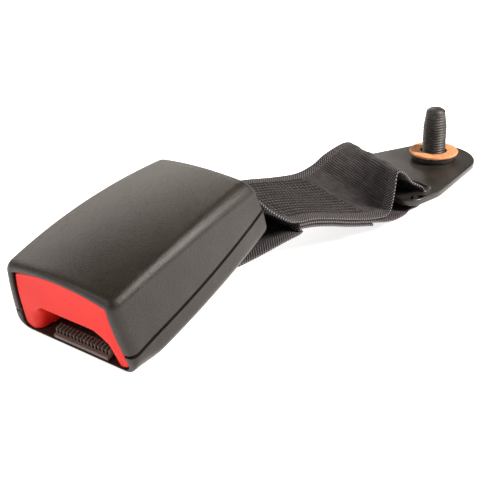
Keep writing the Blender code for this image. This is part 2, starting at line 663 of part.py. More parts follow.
def make_webbing(root, buckle_matrix, plate_matrix):
    cloth = finish("webbing", (0.045, 0.042, 0.046), 0.8)
    rows = smooth_rows(web_rows(buckle_matrix, plate_matrix), 3)
    rings = []
    for i, (near, far) in enumerate(rows):
        before = rows[max(i - 1, 0)]
        after = rows[min(i + 1, len(rows) - 1)]
        ring = []
        for side, points in ((1, (near, far)), (-1, (far, near))):
            for point, k in zip(points, (0, 1) if side == 1 else (1, 0)):
                along = after[k] - before[k]
                normal = along.cross(far - near).normalized()
                ring.append(point + side * WEB_THICKNESS / 2 * normal)
        rings.append(ring)
    mesh_object("webbing", loft(rings), root, cloth)


def make_thread(root):
    """One thread that runs to and fro across the stitched panel, on top of the strap."""
    cotton = finish("thread", (0.035, 0.033, 0.036), 0.75)
    panel = smooth_rows([layout_line(*pair) for pair in UPPER_RUN], 6)[2:]
    columns = 2 * THREAD_ROWS
    lift = Vector((0.0, 0.0, WEB_THICKNESS / 2 + GAP + THREAD_RADIUS))
    points = []
    for column in range(columns):
        across = mix(THREAD_MARGIN, 1 - THREAD_MARGIN, column / (columns - 1))
        order = panel if column % 2 == 0 else list(reversed(panel))
        points += [near.lerp(far, across) + lift for near, far in order]
    wire("stitch_thread", points, THREAD_RADIUS, root, cotton, 0)


def plate_outline():
    """Plan of the anchor plate: a wide slotted end drawn in to a round end about the bolt."""
    half = PLATE_SLOT_HALF + PLATE_ARM
    back = -PLATE_BAR / 2
    shoulder = PLATE_BAR / 2 + PLATE_SLOT_WIDTH + PLATE_SHOULDER_GAP
    run = BOLT_X - shoulder
    lean = math.degrees(math.atan2(half - PLATE_END_RADIUS, run))
    half_outline = arc((back + PLATE_CORNER, half - PLATE_CORNER), PLATE_CORNER, 180, 90, 6)
    half_outline += [(shoulder - PLATE_SHOULDER_LENGTH, half), (shoulder, half - PLATE_SHOULDER_EASE)]
    half_outline += arc((BOLT_X, 0.0), PLATE_END_RADIUS, 90 - lean, 0, 14)
    return half_outline + [(x, -y) for x, y in reversed(half_outline[:-1])]


def make_plate(anchor):
    steel = finish("plate_steel", (0.03, 0.027, 0.025), 0.3, 0.7)
    slot_start = PLATE_BAR / 2
    slot_end = slot_start + PLATE_SLOT_WIDTH
    radius = PLATE_SLOT_WIDTH / 2
    middle = (slot_start + slot_end) / 2
    reach = PLATE_SLOT_HALF - radius
    slot = arc((middle, reach), radius, 180, 0, 8) + arc((middle, -reach), radius, 0, -180, 8)
    hole = arc((BOLT_X, 0.0), BOLT_HOLE_RADIUS, 0, 345, 23)
    curve = bpy.data.curves.new("anchor_plate", "CURVE")
    curve.dimensions = "2D"
    curve.fill_mode = "BOTH"
    curve.extrude = PLATE_THICKNESS / 2 - PLATE_BEVEL
    curve.bevel_depth = PLATE_BEVEL
    curve.bevel_resolution = 1
    curve.offset = -PLATE_BEVEL
    for outline in (plate_outline(), slot, hole):
        spline = curve.splines.new("POLY")
        spline.points.add(len(outline) - 1)
        for spot, (x, y) in zip(spline.points, outline):
            spot.co = (x, y, 0.0, 1.0)
        spline.use_cyclic_u = True
    plate = curve_object("anchor_plate", curve, anchor, steel)
    weld = plate.modifiers.new("weld", "WELD")
    weld.merge_threshold = 0.005 * MM


def turned(name, profile, parent, material, steps=32):
    """Turns a profile of (radius, height) about Z, from the outer top down and back to the axis."""
    bm = bmesh.new()
    spots = [bm.verts.new((r, 0.0, z)) for r, z in profile]
    for a, b in zip(spots, spots[1:]):
        bm.edges.new((a, b))
    if profile[0][0] > 0.0:
        bm.edges.new((spots[-1], spots[0]))
    mesh = bpy.data.meshes.new(name)
    bm.to_mesh(mesh)
    bm.free()
    mesh.materials.append(material)
    item = bpy.data.objects.new(name, mesh)
    item.parent = parent
    PARTS.objects.link(item)
    screw = item.modifiers.new("turn", "SCREW")
    screw.steps = steps
    screw.render_steps = steps
    screw.use_merge_vertices = True
    screw.merge_threshold = 0.01 * MM
    screw.use_smooth_shade = True
    return item


def ring_profile(inner, outer, low, high):
    return [(inner, high), (outer, high), (outer, low), (inner, low)]


def fibre_top():
    return 3 * GAP + SPACER_THICKNESS + FIBRE_THICKNESS - GAP


def make_bolt(bolt):
    black = finish("bolt_black", (0.028, 0.026, 0.024), 0.42, 0.6)
    fibre = finish("fibre", (0.75, 0.3, 0.11), 0.7)
    top = fibre_top() + BOLT_HEIGHT
    under = -PLATE_THICKNESS - 2 * GAP - 2 * WAVE_HEIGHT - WAVE_THICKNESS
    shank_end = fibre_top() - 0.8 * MM
    flange_low = under - FLANGE_THICKNESS
    profile = [(0.0, top), (TIP_RADIUS - TIP_CHAMFER, top), (TIP_RADIUS, top - TIP_CHAMFER),
               (TIP_RADIUS + 0.1 * MM, top - 2.4 * TIP_CHAMFER), (THREAD_OUTER, top - TAPER_LENGTH),
               (THREAD_OUTER, shank_end), (SHANK_RADIUS, shank_end - 0.5 * MM), (SHANK_RADIUS, under),
               (FLANGE_RADIUS, under), (FLANGE_RADIUS, flange_low + 0.6 * MM),
               (FLANGE_RADIUS - 1.2 * MM, flange_low), (0.0, flange_low)]
    item = turned("anchor_bolt", profile, bolt, black)
    across_corners = HEAD_ACROSS_FLATS / math.cos(math.pi / 6)
    centre = (0.0, 0.0, flange_low - HEAD_HEIGHT / 2 + 0.25 * MM)
    head = drum(across_corners / 2, centre, HEAD_HEIGHT + 0.5 * MM, "Z", 6)
    combine(item, mesh_object("bolt_head", head, bolt, None), "UNION")
    spacer_low = GAP
    spacer_high = spacer_low + SPACER_THICKNESS
    spacer = ring_profile(SHANK_RADIUS + GAP, SPACER_RADIUS, spacer_low, spacer_high)
    turned("spacer_ring", spacer, bolt, black)
    washer_low = spacer_high + GAP
    washer = ring_profile(SHANK_RADIUS + GAP, FIBRE_RADIUS, washer_low, washer_low + FIBRE_THICKNESS)
    turned("fibre_washer", washer, bolt, fibre)
    steps = 36
    middle = under + GAP + WAVE_HEIGHT + WAVE_THICKNESS / 2
    bm = bmesh.new()
    rows = []
    for step in range(steps):
        angle = 2 * math.pi * step / steps
        wave = middle + WAVE_HEIGHT * math.cos(WAVE_COUNT * angle)
        low, high = wave - WAVE_THICKNESS / 2, wave + WAVE_THICKNESS / 2
        profile = ring_profile(SHANK_RADIUS + GAP, WAVE_RADIUS, low, high)
        rows.append([bm.verts.new((r * math.cos(angle), r * math.sin(angle), z)) for r, z in profile])
    for step in range(steps):
        row = rows[step]
        following = rows[(step + 1) % steps]
        for i in range(4):
            j = (i + 1) % 4
            bm.faces.new((row[i], row[j], following[j], following[i]))
    mesh_object("wave_washer", bm, bolt, finish("washer_steel", (0.3, 0.29, 0.27), 0.35, 1.0))


def stand_on_origin(root):
    """Moves the whole so that the middle of its box's bottom is at the origin."""
    bpy.context.view_layer.update()
    depsgraph = bpy.context.evaluated_depsgraph_get()
    corners = []
    for item in PARTS.objects:
        shown = item.evaluated_get(depsgraph)
        mesh = shown.to_mesh()
        corners += [shown.matrix_world @ vertex.co for vertex in mesh.vertices]
        shown.to_mesh_clear()
    low = [min(corner[k] for corner in corners) for k in range(3)]
    high = [max(corner[k] for corner in corners) for k in range(3)]
    root.location = (-(low[0] + high[0]) / 2, -(low[1] + high[1]) / 2, -low[2])
    bpy.context.view_layer.update()


def main():
    root = add_empty("assembly", Matrix.Identity(4), None)
    aim = Matrix.Rotation(BUCKLE_YAW, 4, "Z") @ Matrix.Rotation(-PITCH, 4, "Y")
    buckle_matrix = Matrix.Translation(BUCKLE_PLACE) @ aim
    buckle = add_empty("buckle_axis", buckle_matrix, root)
    turn = Matrix.Rotation(ANCHOR_YAW, 4, "Z") @ Matrix.Rotation(-ANCHOR_TILT, 4, "Y")
    plate_matrix = Matrix.Translation(ANCHOR_PIVOT) @ turn
    anchor = add_empty("anchor_axis", plate_matrix, root)
    bolt = add_empty("bolt_axis", Matrix.Translation((BOLT_X, 0.0, PLATE_THICKNESS / 2)), anchor)
    make_covers(buckle)
    make_guide(buckle)
    make_button(buckle)
    make_frame(buckle)
    make_latch(buckle)
    make_ejector(buckle)
    make_springs(buckle)
    make_webbing(root, buckle_matrix, plate_matrix)
    make_thread(root)
    make_plate(anchor)
    make_bolt(bolt)
    stand_on_origin(root)


clear_scene()
PARTS = new_group("seat_belt_buckle")
CUTTERS = new_group("cutters")
main()
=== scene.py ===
# %% [markdown]
# # Seat belt buckle on a short strap
#
# This lesson dresses a measured model of a seat belt buckle: two plastic covers, a red press
# button, a comb for the tongue, a strap of ribbed webbing, and a steel anchor plate with its bolt.
# The mechanism inside keeps the measured solids. Everything that shows gets a finer surface here.

# %% Load the measured frame
import bisect
import json
import math

import bmesh
import bpy
from mathutils import Matrix, Vector, noise


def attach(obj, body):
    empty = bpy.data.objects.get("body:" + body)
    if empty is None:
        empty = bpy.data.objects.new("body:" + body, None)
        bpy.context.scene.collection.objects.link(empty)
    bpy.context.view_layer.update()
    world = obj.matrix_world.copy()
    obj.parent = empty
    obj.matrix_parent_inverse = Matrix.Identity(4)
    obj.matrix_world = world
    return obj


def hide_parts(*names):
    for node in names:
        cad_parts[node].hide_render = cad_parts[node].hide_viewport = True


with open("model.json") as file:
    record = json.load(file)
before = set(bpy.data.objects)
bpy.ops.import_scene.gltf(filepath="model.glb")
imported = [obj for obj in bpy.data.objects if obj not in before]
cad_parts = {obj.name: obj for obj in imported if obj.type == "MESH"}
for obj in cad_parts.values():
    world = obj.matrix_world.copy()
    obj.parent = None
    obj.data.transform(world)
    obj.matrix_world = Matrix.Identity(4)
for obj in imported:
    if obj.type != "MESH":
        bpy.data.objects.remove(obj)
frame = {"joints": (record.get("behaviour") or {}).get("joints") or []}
joints = {joint["name"]: joint for joint in frame["joints"]}
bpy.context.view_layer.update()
MM = 0.001

# %% [markdown]
# ## Where things lie
#
# The buckle slides, so its button's axis gives the buckle's own X. The latch pin's place then
# fixes its origin at the lower edge of the mouth. The plate swings about its outer bar, and the
# bolt's axis stands square on it. All three frames are read from the joints, not typed in.

# %% Frames of the buckle, the plate and the bolt
LATCH_PIN = Vector((45.0, 0.0, 14.2)) * MM
ANCHOR_PIVOT = Vector((169.2, -9.0, 10.5)) * MM


def axes_matrix(x_axis, y_axis, z_axis, origin):
    matrix = Matrix((x_axis, y_axis, z_axis)).transposed().to_4x4()
    matrix.translation = origin
    return matrix


slide = Vector(joints["button_slide"]["axis"]).normalized()
side = Vector((0.0, 0.0, 1.0)).cross(slide).normalized()
up = slide.cross(side)
pin = Vector(joints["latch_pivot"]["pos_m"])
BUCKLE = axes_matrix(slide, side, up, pin - LATCH_PIN.x * slide - LATCH_PIN.z * up)

bar = Vector(joints["anchor_swing"]["axis"]).normalized()
bolt_axis = Vector(joints["bolt_turn"]["axis"]).normalized()
PLATE = axes_matrix(bar.cross(bolt_axis), bar, bolt_axis, Vector(joints["anchor_swing"]["pos_m"]))
BOLT = PLATE.copy()
BOLT.translation = Vector(joints["bolt_turn"]["pos_m"])
LAYOUT = PLATE.translation - ANCHOR_PIVOT
print("buckle at", [round(v, 4) for v in BUCKLE.translation])
print("bolt at", [round(v, 4) for v in BOLT.translation])

# %% [markdown]
# ## Camera, floor and light
#
# The camera stands low on the right of the mouth, with a long lens. One soft light from the right
# draws the long highlight on the covers' right edge, and a weaker one on the left lights the rim
# round the mouth. A broad one behind lights the cloth and the plate. The floor is plain and pale.

# %% Camera
CAMERA_PLACE = Vector((-198.84, -230.43, 175.96)) * MM
CAMERA_HEADING = math.radians(-50.97)
CAMERA_DROP = math.radians(24.40)
CAMERA_ROLL = math.radians(-0.17)
CAMERA_LENS = 75.1

scene = bpy.context.scene
camera = bpy.data.objects.new("camera", bpy.data.cameras.new("camera"))
scene.collection.objects.link(camera)
camera.data.lens = CAMERA_LENS
camera.data.clip_start = 0.01
heading = Matrix.Rotation(CAMERA_HEADING, 4, "Z")
tilt = Matrix.Rotation(math.pi / 2 - CAMERA_DROP, 4, "X")
roll = Matrix.Rotation(CAMERA_ROLL, 4, "Z")
camera.matrix_world = Matrix.Translation(LAYOUT + CAMERA_PLACE) @ heading @ tilt @ roll
scene.camera = camera
scene.view_settings.view_transform = "Standard"
print("camera at", [round(v, 3) for v in camera.location])

# %% [markdown]
# ## Shader maths in plain expressions
#
# A finish is a small graph of nodes. The class below wraps one output, so that sums and products
# can be written as Python expressions, and one method adds any other node.


# %% A wrapper for sockets
class Value:
    """One output of a node, for use in expressions."""

    def __init__(self, finish, socket):
        self.finish = finish
        self.socket = socket

    def math(self, operation, *others):
        return self.finish.node("ShaderNodeMath", {"operation": operation}, [self, *others])

    def __add__(self, other):
        return self.math("ADD", other)

    __radd__ = __add__

    def __mul__(self, other):
        return self.math("MULTIPLY", other)

    __rmul__ = __mul__

    def __sub__(self, other):
        return self.math("SUBTRACT", other)

    def __rsub__(self, other):
        return self.finish.node("ShaderNodeMath", {"operation": "SUBTRACT"}, [other, self])

    def power(self, exponent):
        return self.math("POWER", exponent)

    def wave(self, period):
        """Runs from 0 to 1 and back over each period."""
        return (self * (2 * math.pi / period)).math("COSINE") * 0.5 + 0.5

    def ramp(self, low, high, start=0.0, end=1.0):
        """Goes smoothly from start to end as the value goes from low to high."""
        return self.finish.node("ShaderNodeMapRange", {"interpolation_type": "SMOOTHSTEP"},
                                [self, low, high, start, end])


class Finish:
    """A material and the few nodes that it is made of."""

    def __init__(self, name, colour, roughness, metallic=0.0, **fixed):
        self.material = bpy.data.materials.new(name)
        self.material.use_nodes = True
        self.tree = self.material.node_tree
        self.shader = self.tree.nodes["Principled BSDF"]
        self.shader.inputs["Base Color"].default_value = (*colour, 1.0)
        self.shader.inputs["Roughness"].default_value = roughness
        self.shader.inputs["Metallic"].default_value = metallic
        for socket, value in fixed.items():
            self.shader.inputs[socket.replace("_", " ")].default_value = value

    def node(self, kind, settings=None, inputs=None, output=0):
        made = self.tree.nodes.new(kind)
        for key, value in (settings or {}).items():
            setattr(made, key, value)
        pairs = inputs.items() if isinstance(inputs, dict) else enumerate(inputs or ())
        for key, value in pairs:
            if isinstance(value, Value):
                self.tree.links.new(value.socket, made.inputs[key])
            else:
                made.inputs[key].default_value = value
        return Value(self, made.outputs[output])

    def feed(self, name, value):
        self.tree.links.new(value.socket, self.shader.inputs[name])

    def object_place(self):
        return self.node("ShaderNodeTexCoord", output="Object")

    def noise(self, scale, detail=2.0, rough=0.5, place=None):
        place = place or self.object_place()
        return self.node("ShaderNodeTexNoise", {}, {"Vector": place, "Scale": scale, "Detail": detail,
                                                    "Roughness": rough})

    def blend(self, factor, first, second):
        """Mixes two colours."""
        colours = [c if isinstance(c, Value) else (*c, 1.0) for c in (first, second)]
        inputs = {0: factor, 6: colours[0], 7: colours[1]}
        return self.node("ShaderNodeMix", {"data_type": "RGBA"}, inputs, 2)

    def bump(self, height, distance):
        inputs = {"Strength": 1.0, "Distance": distance, "Height": height}
        self.feed("Normal", self.node("ShaderNodeBump", {}, inputs))


# %% Floor and lights
FLOOR_SIZE = 6.0
FLOOR_DROP = 0.1 * MM
FLOOR_COLOUR = (0.9, 0.9, 0.9)
FLOOR_GLOW = 0.78
WORLD_COLOUR = (1.0, 0.95, 0.89)
WORLD_STRENGTH = 0.17


def add_floor():
    bm = bmesh.new()
    bmesh.ops.create_grid(bm, x_segments=1, y_segments=1, size=FLOOR_SIZE / 2)
    bmesh.ops.translate(bm, verts=bm.verts, vec=(0.0, 0.0, -FLOOR_DROP))
    mesh = bpy.data.meshes.new("floor")
    bm.to_mesh(mesh)
    bm.free()
    floor = bpy.data.objects.new("floor", mesh)
    scene.collection.objects.link(floor)
    paper = Finish("floor_paper", FLOOR_COLOUR, 0.85,
                   Emission_Color=(1.0, 1.0, 1.0, 1.0), Emission_Strength=FLOOR_GLOW)
    mesh.materials.append(paper.material)


def add_light(name, direction, distance, size, power, colour):
    """A rectangular soft light that looks at the lower edge of the buckle's mouth."""
    lamp = bpy.data.lights.new(name, "AREA")
    lamp.shape = "RECTANGLE"
    lamp.size, lamp.size_y = size
    lamp.energy = power
    lamp.color = colour
    light = bpy.data.objects.new(name, lamp)
    scene.collection.objects.link(light)
    way = Vector(direction).normalized()
    light.location = BUCKLE.translation + way * distance
    light.rotation_mode = "QUATERNION"
    light.rotation_quaternion = way.to_track_quat("Z", "Y")


add_floor()
world = bpy.data.worlds.new("studio")
world.use_nodes = True
background = world.node_tree.nodes["Background"]
background.inputs["Color"].default_value = (*WORLD_COLOUR, 1.0)
background.inputs["Strength"].default_value = WORLD_STRENGTH
scene.world = world
add_light("key", (0.44, -0.61, 0.66), 0.9, (0.09, 0.55), 13.0, (1.0, 0.95, 0.91))
add_light("fill", (-0.7, 0.42, 0.55), 1.0, (0.5, 0.2), 3.4, (1.0, 0.95, 0.9))
add_light("back", (0.5, 0.8, 0.42), 1.3, (1.4, 0.45), 7.0, (1.0, 0.93, 0.86))
print("stage is set")

# %% [markdown]
# ## Helpers for pieces
#
# Every piece is a bmesh that is shaped in its carrier's own frame and then moved to the world, so
# that the finished object sits at the origin. A loft joins rings with the bridge tool, which suits
# moulded parts whose section changes along their length.


# %% Mesh helpers
def place_piece(name, bm, matrix, body, finish, replaced=(), sharp=35.0):
    """Turns a bmesh into a piece that rides on a body."""
    bmesh.ops.transform(bm, matrix=matrix, verts=bm.verts)
    mesh = bpy.data.meshes.new(name)
    bm.to_mesh(mesh)
    bm.free()
    mesh.shade_smooth()
    mesh.set_sharp_from_angle(angle=math.radians(sharp))
    mesh.materials.append(finish.material)
    piece = bpy.data.objects.new(name, mesh)
    scene.collection.objects.link(piece)
    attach(piece, body)
    if replaced:
        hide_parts(*replaced)
    print(name, len(mesh.polygons), "faces")
    return piece


def add_bevel(piece, width, segments=3, angle=40.0):
    bevel = piece.modifiers.new("edges", "BEVEL")
    bevel.width = width
    bevel.segments = segments
    bevel.limit_method = "ANGLE"
    bevel.angle_limit = math.radians(angle)


def add_ring(bm, points):
    """A closed ring of edges through the points."""
    made = bmesh.ops.create_circle(bm, segments=len(points), radius=1.0)
    for vertex, point in zip(made["verts"], points):
        vertex.co = point
    return list({edge for vertex in made["verts"] for edge in vertex.link_edges})


def skin(bm, rings, closed=False):
    """Skins a row of rings. A closed row becomes a hollow band, an open one gets end caps."""
    loops = [add_ring(bm, ring) for ring in rings]
    pairs = list(zip(loops, loops[1:]))
    if closed:
        pairs.append((loops[-1], loops[0]))
    for first, second in pairs:
        bmesh.ops.bridge_loops(bm, edges=first + second)
    if not closed:
        for loop in (loops[0], loops[-1]):
            bmesh.ops.contextual_create(bm, geom=loop)
    bmesh.ops.recalc_face_normals(bm, faces=bm.faces)


def loft(rings, closed=False):
    """A new bmesh of one skinned row of rings."""
    bm = bmesh.new()
    skin(bm, rings, closed)
    return bm


def mix(a, b, t):
    return a + (b - a) * t


def smooth_step(low, high, value):
    t = min(max((value - low) / (high - low), 0.0), 1.0)
    return t * t * (3 - 2 * t)


def arc(centre, radius, start, end, steps):
    """Points on a flat arc, with angles in degrees."""
    angles = [math.radians(mix(start, end, step / steps)) for step in range(steps + 1)]
    return [(centre[0] + radius * math.cos(a), centre[1] + radius * math.sin(a)) for a in angles]


def run(first, last, steps):
    """Points on a straight run, without its ends."""
    return [(mix(first[0], last[0], i / steps), mix(first[1], last[1], i / steps)) for i in range(1, steps)]


# %% [markdown]
# ## The covers' form
#
# The covers are one tapered, slightly swollen box with rounded long edges, cut in two along a
# slanting line. Its section is drawn once, as a ring that starts and ends at the middle of the
# floor, and is then repeated at stations along the buckle.

# %% Section of the covers
COVER_LENGTH = 77.8 * MM
FRONT_WIDTH, REAR_WIDTH = 52.4 * MM, 46.8 * MM
FRONT_HEIGHT, REAR_HEIGHT = 28.6 * MM, 22.3 * MM
WALL = 1.8 * MM
FLARE_FRONT, FLARE_REAR = 3.3 * MM, 2.2 * MM
CROWN_FRONT, CROWN_REAR = 3.2 * MM, 1.8 * MM
BARREL, ARCH = 1.8 * MM, 2.4 * MM
MOUTH_TOP, MOUTH_FORWARD, MOUTH_DEPTH, REAR_BULGE = 0.8 * MM, 2.2 * MM, 26.0 * MM, 1.6 * MM
TOP_RADIUS_FRONT, TOP_RADIUS_REAR = 2.8 * MM, 5.5 * MM
LOWER_RADIUS, LOWER_RADIUS_FRONT = 3.4 * MM, 7.0 * MM
LEAST_TOP_RADIUS, LEAST_LOWER_RADIUS = 1.0 * MM, 0.6 * MM
CHIN_DEPTH = 12.0 * MM
FLOOR_STEPS, LOWER_STEPS, SIDE_STEPS, UPPER_STEPS, ROOF_STEPS = 10, 8, 14, 10, 10


def form_ring(x, side=0.0, roof=None, base=None):
    """Section at a distance from the mouth. Side, roof and base say how far inside the skin it lies."""
    roof = side if roof is None else roof
    base = side if base is None else base
    t = x / COVER_LENGTH
    belly = 4 * t * (1 - t)
    half = mix(FRONT_WIDTH, REAR_WIDTH, t) / 2 + BARREL * belly - side
    flare = mix(FLARE_FRONT, FLARE_REAR, t)
    top = mix(FRONT_HEIGHT, REAR_HEIGHT, t) + ARCH * belly - roof
    high = max(mix(TOP_RADIUS_FRONT, TOP_RADIUS_REAR, t) - side, LEAST_TOP_RADIUS)
    near = 1 - smooth_step(0.0, CHIN_DEPTH, x)
    low = max(mix(LOWER_RADIUS, LOWER_RADIUS_FRONT, near) - side, LEAST_LOWER_RADIUS)
    foot = (half + flare - low, base)
    lower = arc((foot[0], base + low), low, -90, 0, LOWER_STEPS)
    upper = arc((half - high, top - high), high, 0, 90, UPPER_STEPS)
    ring = run((0.0, base), foot, FLOOR_STEPS) + lower
    ring += run(lower[-1], upper[0], SIDE_STEPS) + upper + run(upper[-1], (0.0, top), ROOF_STEPS)
    ring = [(0.0, base)] + ring + [(0.0, top)] + [(-y, z) for y, z in reversed(ring)]
    mouth = max(1 - max(x, 0.0) / MOUTH_DEPTH, 0.0) ** 2
    points = []
    for y, z in ring:
        rise = (z - base) / (top - base)
        crown = mix(CROWN_FRONT, CROWN_REAR, t) * (1 - (y / half) ** 2) * rise
        forward = mix(MOUTH_FORWARD, MOUTH_TOP, max(rise, 0.0) ** 4) * mouth
        bulge = REAR_BULGE * math.sin(math.pi * min(max(rise, 0.0), 1.0)) * max(t, 0.0) ** 4
        points.append(Vector((x - forward + bulge, y, z + max(crown, 0.0))))
    return points


print("section has", len(form_ring(0.0)), "points")

# %% [markdown]
# ## Skin, rim and cavity of the covers
#
# The rim round the mouth is rounded on the outside and crisp on the inside. Its lower lip is thin,
# because the comb lies on it. The rings run back inside the cavity, over the rim and along the
# skin to the rear, and the last ring joins the first, so the wall has a true thickness.

# %% The covers' wall as one hollow band
RIM_RADIUS, LIP_RADIUS = 3.0 * MM, 0.4 * MM
RIM_SIDE, RIM_ROOF, RIM_FLOOR = 3.9 * MM, 2.1 * MM, 0.75 * MM
RIM_DEPTH = 14.0 * MM
REAR_RADIUS = 2.4 * MM
REAR_LIP = 6.0 * MM
RIM_FADE = 3.0 * MM
LEAST_FACE = 0.15 * MM
CAVITY_START = 1.2 * MM
FACE_SPOTS = ((0.35 * MM, 1.0), (0.1 * MM, 0.93), (0.0, 0.8))
CAVITY_STATIONS, RIM_STATIONS, SKIN_STATIONS = 30, 14, 28


def cavity_ring(x):
    """Inner skin, thicker at the sides of the mouth and thin under the comb."""
    deep = smooth_step(RIM_DEPTH, RIM_DEPTH + RIM_FADE, x)
    return form_ring(x, mix(RIM_SIDE, WALL, deep), mix(RIM_ROOF, WALL, deep), mix(RIM_FLOOR, WALL, deep))


def rim_ring(angle):
    """Ring on the rounded rim, from the skin at 0 degrees to the mouth's face at 90."""
    turn = math.radians(angle)
    outer, inner = form_ring(0.0), cavity_ring(0.0)
    points = []
    for a, b in zip(outer, inner):
        way = b - a
        way.x = 0.0
        radius = mix(LIP_RADIUS, RIM_RADIUS, smooth_step(1 * MM, 8 * MM, a.z))
        radius = min(radius, way.length - LEAST_FACE)
        inward = way.normalized() * radius * (1 - math.cos(turn))
        points.append(a + inward + Vector((radius * (1 - math.sin(turn)), 0.0, 0.0)))
    return points


def rear_ring(angle):
    """Ring on the rounded rear edge, from the skin at 0 degrees to the rear face at 90."""
    turn = math.radians(angle)
    x = COVER_LENGTH - REAR_RADIUS * (1 - math.sin(turn))
    return form_ring(x, min(REAR_RADIUS * (1 - math.cos(turn)), WALL - 0.01 * MM))


def face_ring(x, k):
    """Ring on the mouth's face, from the rounding at 0 to the cavity's skin at 1."""
    return [Vector((b.x + x, *a.lerp(b, k).yz)) for a, b in zip(rim_ring(90), cavity_ring(0.0))]


def cover_wall():
    inside_end = COVER_LENGTH - WALL
    cavity_places = [mix(inside_end, CAVITY_START, i / CAVITY_STATIONS) for i in range(CAVITY_STATIONS + 1)]
    rings = [cavity_ring(x) for x in cavity_places]
    rings += [face_ring(x, k) for x, k in FACE_SPOTS]
    rings += [rim_ring(angle) for angle in (90, 75, 60, 45, 30, 15)]
    skin_end = COVER_LENGTH - REAR_RADIUS
    rings += [form_ring(mix(RIM_RADIUS, RIM_DEPTH, i / RIM_STATIONS)) for i in range(RIM_STATIONS)]
    rings += [form_ring(mix(RIM_DEPTH, skin_end, i / SKIN_STATIONS)) for i in range(SKIN_STATIONS + 1)]
    rings += [rear_ring(angle) for angle in (15, 30, 45, 60, 75, 90)]
    lip = form_ring(COVER_LENGTH, REAR_LIP)
    rings += [lip, [point - Vector((WALL, 0.0, 0.0)) for point in lip]]
    return loft(rings, closed=True)


# %% [markdown]
# ## Plastic finishes
#
# The covers are spark-eroded black plastic with a warm cast: a fine grain that breaks up the
# highlight into specks. The button has a smoother red skin, and the comb a plain grey one.

# %% Plastics
GRAIN_SIZE = 0.34 * MM
GRAIN_DEPTH = 0.11 * MM


def plastic(name, colour, light, roughness, grain, depth, gloss=0.5):
    """Moulded plastic: a colour that drifts a little, and a spark-eroded grain."""
    made = Finish(name, colour, roughness, Specular_IOR_Level=gloss)
    cloud = made.noise(90.0, 3.0)
    specks = made.noise(1.0 / grain, 3.0, 0.65)
    made.feed("Base Color", made.blend((cloud * 0.6 + specks * 0.5).ramp(0.35, 0.8), colour, light))
    made.feed("Roughness", specks.ramp(0.3, 0.7, roughness - 0.06, roughness + 0.08))
    made.bump(specks + made.noise(0.45 / grain, 2.0) * 0.5, depth)
    return made


cover_finish = plastic("cover_plastic", (0.016, 0.012, 0.009), (0.027, 0.0215, 0.0165), 0.31,
                       GRAIN_SIZE, GRAIN_DEPTH, 0.32)
red_finish = plastic("button_plastic", (0.68, 0.014, 0.008), (0.75, 0.021, 0.012), 0.42,
                     0.5 * MM, 0.012 * MM, 0.22)
comb_finish = plastic("comb_plastic", (0.14, 0.118, 0.1), (0.19, 0.165, 0.142), 0.5,
                      GRAIN_SIZE, 0.03 * MM, 0.3)
print("plastics:", cover_finish.material.name, red_finish.material.name, comb_finish.material.name)

# %% [markdown]
# ## Upper and lower cover
#
# The hollow band is cut twice by the slanting parting plane, once for each shell, and the cut
# wall is closed. A Boolean then opens the rear and the floor ahead of it, where the strap passes.

# %% Cut the wall into two shells
PARTING_FRONT, PARTING_REAR = 8.3 * MM, 10.0 * MM
PARTING_GAP = 1.3 * MM
FLOOR_END = 49.0 * MM
OPENING_HALF, OPENING_HEIGHT = 20.8 * MM, 19.0 * MM
OPENING_RADIUS, OPENING_BELOW, OPENING_BEHIND = 3.0 * MM, 5.0 * MM, 10.0 * MM


def parting_height(x):
    return mix(PARTING_FRONT, PARTING_REAR, x / COVER_LENGTH)


slope = math.atan2(PARTING_REAR - PARTING_FRONT, COVER_LENGTH)
parting_normal = Vector((-math.sin(slope), 0.0, math.cos(slope)))
parting_point = Vector((0.0, 0.0, PARTING_FRONT))


def cut_at_joint(bm, side):
    """Keeps what lies above the joint for side 1, below it for side -1, and closes the wall there."""
    geometry = list(bm.verts) + list(bm.edges) + list(bm.faces)
    point = parting_point + side * parting_normal * PARTING_GAP / 2
    bmesh.ops.bisect_plane(bm, geom=geometry, plane_co=point, plane_no=-side * parting_normal,
                           clear_outer=True)
    rim = [edge for edge in bm.edges if edge.is_boundary]
    bmesh.ops.holes_fill(bm, edges=rim, sides=0)
    bmesh.ops.recalc_face_normals(bm, faces=bm.faces)


def strap_opening():
    """The space that the strap passes through: a block with rounded upper edges."""
    centre = (OPENING_HALF - OPENING_RADIUS, OPENING_HEIGHT - OPENING_RADIUS)
    half = [(OPENING_HALF, -OPENING_BELOW)] + arc(centre, OPENING_RADIUS, 0, 90, 6)
    outline = half + [(-y, z) for y, z in reversed(half)]
    ends = (FLOOR_END, COVER_LENGTH + OPENING_BEHIND)
    return loft([[Vector((x, y, z)) for y, z in outline] for x in ends])


def carve(bm, block):
    """Takes a block out of a closed bmesh with a Boolean, and gives back the new bmesh."""
    made = []
    for name, source in (("carved", bm), ("carver", block)):
        mesh = bpy.data.meshes.new(name)
        source.to_mesh(mesh)
        source.free()
        made.append(bpy.data.objects.new(name, mesh))
        scene.collection.objects.link(made[-1])
    difference = made[0].modifiers.new("opening", "BOOLEAN")
    difference.operation = "DIFFERENCE"
    difference.object = made[1]
    result = bpy.data.meshes.new_from_object(made[0].evaluated_get(bpy.context.evaluated_depsgraph_get()))
    carved = bmesh.new()
    carved.from_mesh(result)
    bpy.data.meshes.remove(result)
    for item in made:
        bpy.data.meshes.remove(item.data)
    return carved


for name, node, side in (("upper_shell", "upper_cover", 1), ("lower_shell", "lower_cover", -1)):
    shell = cover_wall()
    cut_at_joint(shell, side)
    shell = carve(shell, strap_opening())
    place_piece(name, shell, BUCKLE, "housing", cover_finish, (node,), 40)

# %% [markdown]
# ## The joint between the shells
#
# The groove is 1.3 mm wide and looks black, because the shells lap behind it. A thin band on the
# inner side of the wall stands for the lap.

